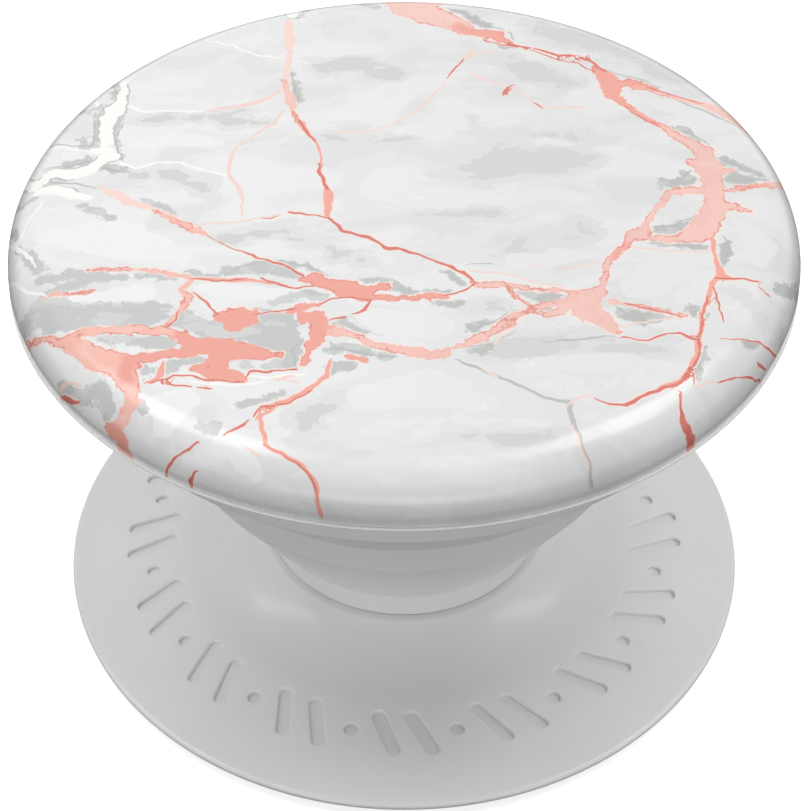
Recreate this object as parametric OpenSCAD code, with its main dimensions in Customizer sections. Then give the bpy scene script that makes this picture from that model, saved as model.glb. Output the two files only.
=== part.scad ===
// Collapsible phone grip. An adhesive base carries a swivelling accordion of three soft
// tiers joined by two thin conical webs, and a printed round cap locks to the top of the
// accordion with a quarter-turn bayonet.
// Millimetres, +Z up, origin at the centre of the adhesive face, drawn fully extended.
// Each web turns inside out as its stage closes, so the cap drops by two equal strokes.

/* [Base] */
// Radius of the base platform
base_radius = 18.95; // [18.8:0.05:19.6]
// Thickness of the reusable gel pad under the platform
pad_thickness = 0.4; // [0.3:0.05:0.5]
// Height of the platform's rim above the surface it is stuck to
rim_top_z = 0.95; // [0.9:0.01:1]
// Height of the lip around the swivel bore
lip_top_z = 2.85; // [2.8:0.01:2.9]
// Number of groups of marks pressed into the platform as a grip ring
mark_groups = 16; // [6:1:18]
// Radius of the circle that the marks stand on
mark_ring_radius = 14.4; // [14:0.1:15]
// Depth of a mark
mark_depth = 0.25; // [0.1:0.05:0.3]

/* [Accordion] */
// Outer radius of the neck that turns in the platform's bore
neck_radius = 7.35; // [7.2:0.05:7.4]
// Outer radius of the collar tier at its top
collar_top_radius = 8.3; // [8:0.1:8.4]
// Height of the collar tier's top
collar_top_z = 5.05; // [4.8:0.05:5.1]
// Outer radius of the middle tier at its foot
middle_foot_radius = 11.9; // [11.6:0.1:12]
// Outer radius of the middle tier at its top
middle_top_radius = 13; // [12.8:0.1:13.2]
// Height of the middle tier's foot
middle_foot_z = 10.6; // [10.6:0.1:10.8]
// Height of the middle tier's top
middle_top_z = 13.7; // [13.4:0.1:13.7]
// Outer radius of the upper tier, which nests inside the cap
upper_radius = 17.2; // [17:0.1:17.25]
// Height of the upper tier's lower edge
upper_foot_z = 18.7; // [18.7:0.1:19]
// Wall thickness of the three tiers
tier_wall = 0.9; // [0.8:0.05:1]
// Thickness of the two folding webs, measured across
web_wall = 0.55; // [0.45:0.05:0.6]

/* [Cap] */
// Largest radius of the cap
cap_radius = 19.87; // [19.6:0.01:20.2]
// Height of the cap's top face
cap_top_z = 25.2; // [25.1:0.1:25.4]
// Height of the cap's lower edge
cap_foot_z = 22.2; // [22.1:0.1:22.3]
// Radius of the cap's rounded upper edge
cap_edge_radius = 2.24; // [1.8:0.01:2.3]
// Thickness of the printed film over the cap
film_thickness = 0.12; // [0.08:0.01:0.15]

/* [Bayonet] */
// Radius of the cap's locking post
post_radius = 3.1; // [2.8:0.1:3.3]
// Reach of each locking tab from the axis
tab_reach = 4.8; // [4.4:0.1:4.9]
// Width of each locking tab
tab_width = 2.2; // [1.8:0.1:2.4]
// Outer radius of the hub's chamber wall
hub_radius = 6; // [5.8:0.1:6]

/* [Hidden] */

$fn = 96;
over = 1;                                    // how far a cutting tool runs past a face
axial_play = 0.1;                            // flat gap between parts that turn on each other
bearing_play = 0.08;                         // radial gap of the swivel bearing

film_bond = 0.1;                             // thickness of a bonding film
platform_z = pad_thickness + film_bond;      // underside of the platform
pad_radius = base_radius - 0.45;
mark_floor_z = rim_top_z + 0.15 - mark_depth;
mark_width = 0.8;
mark_bar_length = 2.3;                       // between the centres of a bar's round ends
mark_slant = 24;

bore_radius = neck_radius + 0.15;            // hole in the platform's lip
bearing_radius = 8.6;                        // recess that the swivel ring turns in
bearing_top_z = 1.75;
backing_top_z = 0.9;
swivel_bottom_z = backing_top_z + axial_play;
swivel_top_z = bearing_top_z - axial_play;
sleeve_inner = 6.3;
sleeve_outer = 6.65;

flange_top_z = 23.3;                         // top of the upper tier's closing flange
flange_thickness = 0.7;
cap_recess_z = flange_top_z + axial_play;    // underside of the cap inside its skirt
cap_recess_radius = upper_radius + 0.3;
bond_pocket_z = cap_recess_z + 0.5;          // top of the plug's flange
bond_top_z = bond_pocket_z + film_bond;
plug_flange_radius = 6.5;

hub_floor_z = 19.2;                          // lowest face of the hub
hub_chamber_radius = hub_radius - 0.75;
hub_gate_z = 22.3;                           // underside of the gate that the tabs lock under
hub_flange_radius = 8.5;
hub_flange_z = flange_top_z - 0.35;
post_foot_z = 20.1;
tab_bottom_z = 20.8;
tab_top_z = hub_gate_z - axial_play;
stop_width = 0.9;

pad_color = [0.72, 0.73, 0.74];
clear_color = [0.85, 0.87, 0.88];
base_color = [0.90, 0.90, 0.90];
backing_color = [0.80, 0.80, 0.81];
soft_color = [0.74, 0.74, 0.75];
hub_color = [0.84, 0.84, 0.85];
cap_color = [0.93, 0.93, 0.93];
print_color = [0.95, 0.86, 0.84];

// Points of an arc about a centre, from one angle to another, in equal steps
function arc(centre, radius, from, to, steps) =
    [for (i = [0 : steps])
        let (a = from + (to - from) * i / steps)
        [centre[0] + radius * cos(a), centre[1] + radius * sin(a)]];

// A flat ring: inner and outer radius, lower and upper height
module ring(inner, outer, low, high) {
    translate([0, 0, low]) difference() {
        cylinder(r = outer, h = high - low);
        translate([0, 0, -over]) cylinder(r = inner, h = high - low + 2 * over);
    }
}

// A cone-shaped skin whose two end faces are level
module web(foot_radius, foot_z, top_radius, top_z) {
    slope = atan((top_radius - foot_radius) / (top_z - foot_z));
    level_wall = web_wall / cos(slope);
    rotate_extrude() polygon([
        [foot_radius, foot_z], [top_radius, top_z],
        [top_radius - level_wall, top_z], [foot_radius - level_wall, foot_z]]);
}

// One pressed bar, standing along X, with round ends
module bar_mark() {
    half = mark_bar_length / 2;
    translate([-half, -mark_width / 2, 0]) cube([2 * half, mark_width, over]);
    for (end = [-half, half])
        translate([end, 0, 0]) cylinder(d = mark_width, h = over, $fn = 24);
}

// Groups of two slanted bars and a dot, spaced evenly around the platform
module mark_ring() {
    group_angle = 360 / mark_groups;
    for (i = [0 : mark_groups - 1])
        rotate(i * group_angle) {
            for (side = [-1, 1])
                rotate(side * group_angle / 6) translate([mark_ring_radius, 0, mark_floor_z])
                    rotate(mark_slant) bar_mark();
            rotate(group_angle / 2) translate([mark_ring_radius, 0, mark_floor_z])
                cylinder(d = mark_width, h = over, $fn = 24);
        }
}

module gel_pad() {
    color(pad_color) cylinder(r = pad_radius, h = pad_thickness);
}

module adhesive_film() {
    color(clear_color)
        translate([0, 0, pad_thickness]) cylinder(r = pad_radius, h = film_bond);
}

// A thin flange that sweeps up to a round lip around the swivel bore
module base_platform() {
    edge_radius = 0.2;
    sweep_start = 12.2;                      // where the flange begins to rise
    sweep_start_z = rim_top_z + 0.35;
    sweep_radius = 6.81;
    lip_round = 0.3;
    lip_reach = asin((sweep_start - bore_radius - 2 * lip_round) / sweep_radius);
    color(base_color) difference() {
        rotate_extrude($fn = 144) polygon(concat(
            [[bore_radius, bearing_top_z], [bore_radius, lip_top_z - 0.1],
             [bore_radius + 0.1, lip_top_z]],
            arc([sweep_start, sweep_start_z + sweep_radius], sweep_radius,
                270 - lip_reach, 270, 10),
            arc([base_radius - edge_radius, rim_top_z - edge_radius], edge_radius, 80, 0, 4),
            [[base_radius, platform_z], [bearing_radius, platform_z],
             [bearing_radius, bearing_top_z]]));
        mark_ring();
    }
}

// Closes the recess from below, so that the swivel ring cannot fall out
module backing_disc() {
    color(backing_color)
        translate([0, 0, platform_z])
            cylinder(r = bearing_radius - 0.02, h = backing_top_z - platform_z);
}

// Hard ring that the soft collar is moulded onto: a bearing flange and an inner sleeve
module swivel_ring() {
    color(hub_color) union() {
        ring(sleeve_inner, bearing_radius - bearing_play, swivel_bottom_z, swivel_top_z);
        ring(sleeve_inner, sleeve_outer, swivel_top_z - 0.01, lip_top_z + 1.2);
    }
}

// Lowest tier: neck through the bore, then a short flared wall
module collar_tier() {
    sleeve_end_z = lip_top_z + 1.2;
    color(soft_color) rotate_extrude() polygon([
        [sleeve_outer, swivel_top_z], [neck_radius, swivel_top_z], [neck_radius, lip_top_z],
        [collar_top_radius - 0.25, collar_top_z - 0.9], [collar_top_radius, collar_top_z],
        [collar_top_radius - tier_wall, collar_top_z], [sleeve_outer, sleeve_end_z]]);
}

module lower_web() {
    color(soft_color)
        web(collar_top_radius, collar_top_z, middle_foot_radius, middle_foot_z);
}

// Middle tier: a near-upright wall with its foot drawn in
module middle_tier() {
    knee = [middle_foot_radius + 0.5, middle_foot_z + 0.9];
    color(soft_color) rotate_extrude() polygon([
        [middle_foot_radius, middle_foot_z], knee, [middle_top_radius, middle_top_z],
        [middle_top_radius - tier_wall, middle_top_z], knee - [tier_wall, 0],
        [middle_foot_radius - tier_wall, middle_foot_z]]);
}

module upper_web() {
    color(soft_color)
        web(middle_top_radius, middle_top_z, upper_radius, upper_foot_z);
}

// Upper tier: upright wall closed by a thin flange that the hub is moulded into
module upper_tier() {
    color(soft_color) difference() {
        translate([0, 0, upper_foot_z])
            cylinder(r = upper_radius, h = flange_top_z - upper_foot_z);
        translate([0, 0, upper_foot_z - over])
            cylinder(r = upper_radius - tier_wall,
                     h = flange_top_z - flange_thickness - upper_foot_z + over);
        translate([0, 0, upper_foot_z])
            cylinder(r = hub_radius, h = flange_top_z - upper_foot_z + over);
        translate([0, 0, hub_flange_z])
            cylinder(r = hub_flange_radius, h = flange_top_z - hub_flange_z + over);
    }
}

// Hard hub: a gate with two slots over a round chamber with stops for the quarter turn
module hub_ring() {
    slot_play = 0.15;
    color(hub_color) difference() {
        union() {
            translate([0, 0, hub_floor_z])
                cylinder(r = hub_radius, h = flange_top_z - hub_floor_z);
            translate([0, 0, hub_flange_z])
                cylinder(r = hub_flange_radius, h = flange_top_z - hub_flange_z);
        }
        translate([0, 0, hub_floor_z - over])
            cylinder(r = hub_chamber_radius, h = hub_gate_z - hub_floor_z + over);
        cylinder(r = post_radius + slot_play, h = cap_top_z);
        for (side = [0, 180])
            rotate(90 + side) translate([0, -tab_width / 2 - slot_play, hub_gate_z - 0.5])
                cube([tab_reach + slot_play, tab_width + 2 * slot_play, cap_top_z]);
    }
    color(hub_color)
        for (angle = [-30, 120, 150, 300])
            rotate(angle)
                translate([tab_reach - 0.35, -stop_width / 2, tab_bottom_z])
                    cube([hub_chamber_radius - tab_reach + 0.45, stop_width,
                          hub_gate_z - tab_bottom_z]);
}

// The cap's post with two tabs, on a round flange that is bonded into the cap
module twist_plug() {
    color(cap_color) union() {
        translate([0, 0, cap_recess_z])
            cylinder(r = plug_flange_radius, h = bond_pocket_z - cap_recess_z);
        translate([0, 0, post_foot_z])
            cylinder(r = post_radius, h = bond_pocket_z - post_foot_z);
        intersection() {
            translate([-tab_reach, -tab_width / 2, tab_bottom_z])
                cube([2 * tab_reach, tab_width, tab_top_z - tab_bottom_z]);
            cylinder(r = tab_reach, h = cap_top_z);
        }
    }
}

module plug_bond_disc() {
    color(clear_color)
        translate([0, 0, bond_pocket_z])
            cylinder(r = plug_flange_radius, h = bond_top_z - bond_pocket_z);
}

// Outer outline of the cap's rounded edge, drawn in by a given amount
function cap_edge(inset) =
    arc([cap_radius - cap_edge_radius, cap_top_z - cap_edge_radius],
        cap_edge_radius - inset, 90, 0, 10);

film_foot_z = cap_foot_z + 0.3;
film_foot_radius = cap_radius - 0.1;

// Hard shell with a raised rim below, so the upper tier nests inside it when it turns
module cap_shell() {
    rim_inner = cap_recess_radius;
    color(cap_color) difference() {
        rotate_extrude($fn = 144) polygon(concat(
            [[0, cap_recess_z], [rim_inner, cap_recess_z], [rim_inner, cap_foot_z + 0.15],
             [rim_inner + 0.15, cap_foot_z], [cap_radius - 0.2, cap_foot_z],
             [film_foot_radius, film_foot_z - 0.15], [film_foot_radius, film_foot_z],
             [film_foot_radius - film_thickness, film_foot_z]],
            [for (i = [10 : -1 : 0]) cap_edge(film_thickness)[i]],
            [[0, cap_top_z - film_thickness]]));
        translate([0, 0, cap_recess_z - over])
            cylinder(r = plug_flange_radius, h = bond_top_z - cap_recess_z + over);
    }
}

// Printed film over the top and the rounded edge
module print_film() {
    color(print_color)
        rotate_extrude($fn = 144) polygon(concat(
            [[0, cap_top_z]], cap_edge(0), [[film_foot_radius, film_foot_z]],
            [[film_foot_radius - film_thickness, film_foot_z]],
            [for (i = [10 : -1 : 0]) cap_edge(film_thickness)[i]],
            [[0, cap_top_z - film_thickness]]));
}

gel_pad();
adhesive_film();
base_platform();
backing_disc();
swivel_ring();
collar_tier();
lower_web();
middle_tier();
upper_web();
upper_tier();
hub_ring();
twist_plug();
plug_bond_disc();
cap_shell();
print_film();
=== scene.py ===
"""Looks for the collapsible phone grip: marble cap, soft folding accordion, pale round base.

Every length in a profile or a pattern is in millimetres, and MM turns it into metres.
"""
import math

import bmesh
import bpy
import numpy as np
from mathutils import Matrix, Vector, geometry, noise


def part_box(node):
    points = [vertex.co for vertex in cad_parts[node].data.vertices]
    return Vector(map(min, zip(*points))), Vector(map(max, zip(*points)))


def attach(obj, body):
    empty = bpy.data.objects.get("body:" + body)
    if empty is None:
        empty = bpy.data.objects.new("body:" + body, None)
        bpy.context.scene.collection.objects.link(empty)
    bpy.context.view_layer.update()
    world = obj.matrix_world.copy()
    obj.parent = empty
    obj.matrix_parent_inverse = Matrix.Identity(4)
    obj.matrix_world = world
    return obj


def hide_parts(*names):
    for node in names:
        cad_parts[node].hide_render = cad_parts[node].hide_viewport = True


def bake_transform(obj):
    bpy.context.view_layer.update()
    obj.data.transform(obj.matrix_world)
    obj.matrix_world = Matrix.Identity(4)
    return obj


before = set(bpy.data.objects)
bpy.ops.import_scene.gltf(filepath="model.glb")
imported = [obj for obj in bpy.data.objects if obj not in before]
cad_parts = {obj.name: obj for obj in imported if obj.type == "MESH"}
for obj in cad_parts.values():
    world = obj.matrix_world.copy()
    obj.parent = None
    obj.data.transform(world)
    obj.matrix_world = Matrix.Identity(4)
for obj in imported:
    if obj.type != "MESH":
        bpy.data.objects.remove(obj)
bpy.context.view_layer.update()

MM = 0.001


# ---------------------------------------------------------------- sizes, from the frame
def low(node):
    """Lowest corner of a CAD node, in millimetres."""
    return [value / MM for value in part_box(node)[0]]


def high(node):
    """Highest corner of a CAD node, in millimetres."""
    return [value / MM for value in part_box(node)[1]]


PAD_RADIUS, PAD_TOP = high("gel_pad")[0], high("gel_pad")[2]
BASE_RADIUS, LIP_TOP = high("base_platform")[0], high("base_platform")[2]
BASE_FOOT = low("base_platform")[2]
BEARING_RADIUS, BEARING_TOP = high("backing_disc")[0], 1.75
SLEEVE_TOP = high("swivel_ring")[2]
COLLAR_RADIUS, COLLAR_TOP = high("collar_tier")[0], high("collar_tier")[2]
COLLAR_FOOT = low("collar_tier")[2]
MIDDLE_RADIUS, MIDDLE_TOP = high("middle_tier")[0], high("middle_tier")[2]
MIDDLE_FOOT = low("middle_tier")[2]
MIDDLE_FOOT_RADIUS = high("lower_web")[0]
MIDDLE_KNEE = (MIDDLE_FOOT_RADIUS + 0.5, MIDDLE_FOOT + 0.9)    # above it the wall is straight
UPPER_RADIUS, UPPER_TOP = high("upper_tier")[0], high("upper_tier")[2]
UPPER_FOOT = low("upper_tier")[2]
CAP_RADIUS, CAP_TOP = high("print_film")[0], high("print_film")[2]
FILM_FOOT, CAP_FOOT = low("print_film")[2], low("cap_shell")[2]
CAP_EDGE = 2.24                    # radius of the cap's rounded edge
EDGE_CENTRE = (CAP_RADIUS - CAP_EDGE, CAP_TOP - CAP_EDGE)
FILM = 0.12                        # thickness of the printed film
FILM_END = FILM_FOOT - 0.12        # lower edge of the film, just above the shell's bead
FILM_END_RADIUS = CAP_RADIUS - 0.12
SHELL_GAP = 0.005                  # between the film and the shell that it covers
NECK_RADIUS = 7.44                 # soft neck, just clear of the bore
BORE_RADIUS = 7.5
TIER_WALL = 0.9
FAR = 50.0                         # further from a stroke than any point of the cap
WANDER_SEED = 90                   # unseeded, noise_vector() differs from run to run


# ---------------------------------------------------------------- mesh building
def rounded(corners):
    """Outline through (radius, height, fillet) corners, with an arc at each filleted one.

    A guard point beside each arc keeps the smooth shading of the flats flat.
    """
    steps, guard = 6, 0.05
    most_of_side = 0.45            # the share of a side that one fillet may take
    room_for_guard = 2.3           # a side at least this many times the fillet's reach
    outline = []
    count = len(corners)
    for i, (r, z, fillet) in enumerate(corners):
        here = Vector((r, z))
        if fillet <= 0:
            outline.append((r, z))
            continue
        before = Vector(corners[i - 1][:2]) - here
        after = Vector(corners[(i + 1) % count][:2]) - here
        back, ahead = before.normalized(), after.normalized()
        half = back.angle(ahead) / 2
        reach = min(fillet / math.tan(half), most_of_side * before.length,
                    most_of_side * after.length)
        radius = reach * math.tan(half)
        centre = here + (back + ahead).normalized() * (radius / math.sin(half))
        start, end = here + back * reach - centre, here + ahead * reach - centre
        first = math.atan2(start.y, start.x)
        sweep = (math.atan2(end.y, end.x) - first + math.pi) % (2 * math.pi) - math.pi
        if before.length > room_for_guard * (reach + guard):
            outline.append(tuple(here + back * (reach + guard)))
        for step in range(steps + 1):
            angle = first + sweep * step / steps
            outline.append((centre.x + radius * math.cos(angle),
                            centre.y + radius * math.sin(angle)))
        if after.length > room_for_guard * (reach + guard):
            outline.append(tuple(here + ahead * (reach + guard)))
    return outline


def arc(centre, radius, start, end, steps):
    """Points on an arc, angles in degrees from the outward direction."""
    angles = [math.radians(start + (end - start) * i / steps) for i in range(steps + 1)]
    return [(centre[0] + radius * math.cos(a), centre[1] + radius * math.sin(a)) for a in angles]


def mesh_object(name, vertices, faces):
    """A smooth-shaded mesh piece in the scene, with its sharp edges kept crisp.

    Vertices in the same place are joined, and the faces all turned outwards.
    """
    same_place, sharp = 1e-7, math.radians(35)
    mesh = bpy.data.meshes.new(name)
    mesh.from_pydata(vertices, [], faces)
    build = bmesh.new()
    build.from_mesh(mesh)
    bmesh.ops.remove_doubles(build, verts=build.verts, dist=same_place)
    bmesh.ops.recalc_face_normals(build, faces=build.faces)
    build.to_mesh(mesh)
    build.free()
    mesh.validate()
    mesh.shade_smooth()
    mesh.set_sharp_from_angle(angle=sharp)
    piece = bpy.data.objects.new(name, mesh)
    bpy.context.scene.collection.objects.link(piece)
    return piece


def turned(outline, segments, closed=True):
    """Vertices and faces of an outline of (radius, height) turned about Z.

    Points on the axis become single vertices.
    """
    on_axis = 1e-6
    angles = [2 * math.pi * j / segments for j in range(segments)]
    vertices, rings = [], []
    for r, z in outline:
        if r < on_axis:
            rings.append([len(vertices)] * segments)
            vertices.append((0.0, 0.0, z * MM))
            continue
        rings.append(range(len(vertices), len(vertices) + segments))
        vertices += [(r * MM * math.cos(a), r * MM * math.sin(a), z * MM) for a in angles]
    faces = []
    last = len(outline) if closed else len(outline) - 1
    for i in range(last):
        near, far = rings[i], rings[(i + 1) % len(outline)]
        if near[0] == near[1] and far[0] == far[1]:
            continue
        for j in range(segments):
            k = (j + 1) % segments
            corners = [near[j], near[k], far[k], far[j]]
            faces.append(tuple(dict.fromkeys(corners)))
    return vertices, faces


def revolve(name, outline, segments=256, closed=True):
    """A piece turned about Z from its outline."""
    return mesh_object(name, *turned(outline, segments, closed))


# ---------------------------------------------------------------- material helpers
def linear(red, green, blue):
    """A colour given in display values, 0 to 255, as the linear colour that nodes use."""
    def one(value):
        value /= 255
        return value / 12.92 if value <= 0.04045 else ((value + 0.055) / 1.055) ** 2.4
    return (one(red), one(green), one(blue), 1.0)


class Finish:
    """A node material under construction: each method adds a node and returns its output."""

    def __init__(self, name, roughness, specular=0.5, coat=0.0, coat_roughness=0.05):
        self.material = bpy.data.materials.new(name)
        self.material.use_nodes = True
        self.tree = self.material.node_tree
        self.shader = self.tree.nodes["Principled BSDF"]
        self.shader.inputs["Roughness"].default_value = roughness
        self.shader.inputs["Specular IOR Level"].default_value = specular
        self.shader.inputs["Coat Weight"].default_value = coat
        self.shader.inputs["Coat Roughness"].default_value = coat_roughness

    def node(self, kind, inputs=(), **settings):
        """A new node with its settings, and a value or a link for each named input."""
        made = self.tree.nodes.new(kind)
        for key, value in settings.items():
            setattr(made, key, value)
        for key, value in dict(inputs).items():
            self.feed(made.inputs[key], value)
        return made

    def feed(self, socket, value):
        if isinstance(value, bpy.types.NodeSocket):
            self.tree.links.new(value, socket)
        else:
            socket.default_value = value

    def place(self, stretch=(1, 1, 1)):
        """Object coordinates in millimetres, stretched by a factor along each axis."""
        position = self.node("ShaderNodeTexCoord").outputs["Object"]
        scale = tuple(s / MM for s in stretch)
        return self.node("ShaderNodeVectorMath", {0: position, 1: scale},
                         operation="MULTIPLY").outputs[0]

    def math(self, operation, a, b=0.0):
        return self.node("ShaderNodeMath", {0: a, 1: b}, operation=operation).outputs[0]

    def noise(self, where, scale, detail=3.0, rough=0.5, distortion=0.0):
        return self.node("ShaderNodeTexNoise",
                         {"Vector": where, "Scale": scale, "Detail": detail,
                          "Roughness": rough, "Distortion": distortion}).outputs["Fac"]

    def cells(self, where, scale):
        """Distance to the nearest of a scatter of points."""
        return self.node("ShaderNodeTexVoronoi",
                         {"Vector": where, "Scale": scale}).outputs["Distance"]

    def spread(self, value, low_in, high_in, low_out=0.0, high_out=1.0):
        """Maps a range of values smoothly onto another and clamps it."""
        return self.node("ShaderNodeMapRange",
                         {"Value": value, "From Min": low_in, "From Max": high_in,
                          "To Min": low_out, "To Max": high_out},
                         interpolation_type="SMOOTHSTEP").outputs["Result"]

    def blend(self, factor, a, b):
        """Colour a where the factor is 0 and colour b where it is 1."""
        factor_in, a_in, b_in, colour_out = 0, 6, 7, 2
        return self.node("ShaderNodeMix", {factor_in: factor, a_in: a, b_in: b},
                         data_type="RGBA").outputs[colour_out]

    def bump(self, height, distance):
        """Relief that stands up by a distance in millimetres where the height is 1."""
        made = self.node("ShaderNodeBump", {"Height": height, "Distance": distance * MM,
                                            "Strength": 1.0})
        self.feed(self.shader.inputs["Normal"], made.outputs["Normal"])

    def colour(self, value):
        self.feed(self.shader.inputs["Base Color"], value)

    def roughness(self, value):
        self.feed(self.shader.inputs["Roughness"], value)


def dress(piece, finish):
    """Gives a piece its one material."""
    piece.data.materials.clear()
    piece.data.materials.append(finish.material)


def moulded_plastic(name, tone, shade, roughness, grain, coat=0.0):
    """Moulded plastic: faint flow tone, a fine spark-eroded grain and small gloss changes."""
    finish = Finish(name, roughness, coat=coat)
    here = finish.place()
    flow = finish.spread(finish.noise(here, 0.12, 4.0), 0.3, 0.7)
    colour = finish.blend(flow, linear(*tone), linear(*shade))
    speck = finish.spread(finish.noise(here, 14.0, 2.0), 0.45, 0.8)
    darker = linear(*[0.97 * c for c in shade])
    finish.colour(finish.blend(finish.math("MULTIPLY", speck, 0.2), colour, darker))
    finish.roughness(finish.spread(finish.noise(here, 0.5, 3.0), 0.3, 0.7,
                                   roughness - 0.04, roughness + 0.05))
    finish.bump(finish.noise(here, 9.0, 3.0, 0.6), grain)
    return finish


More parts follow.
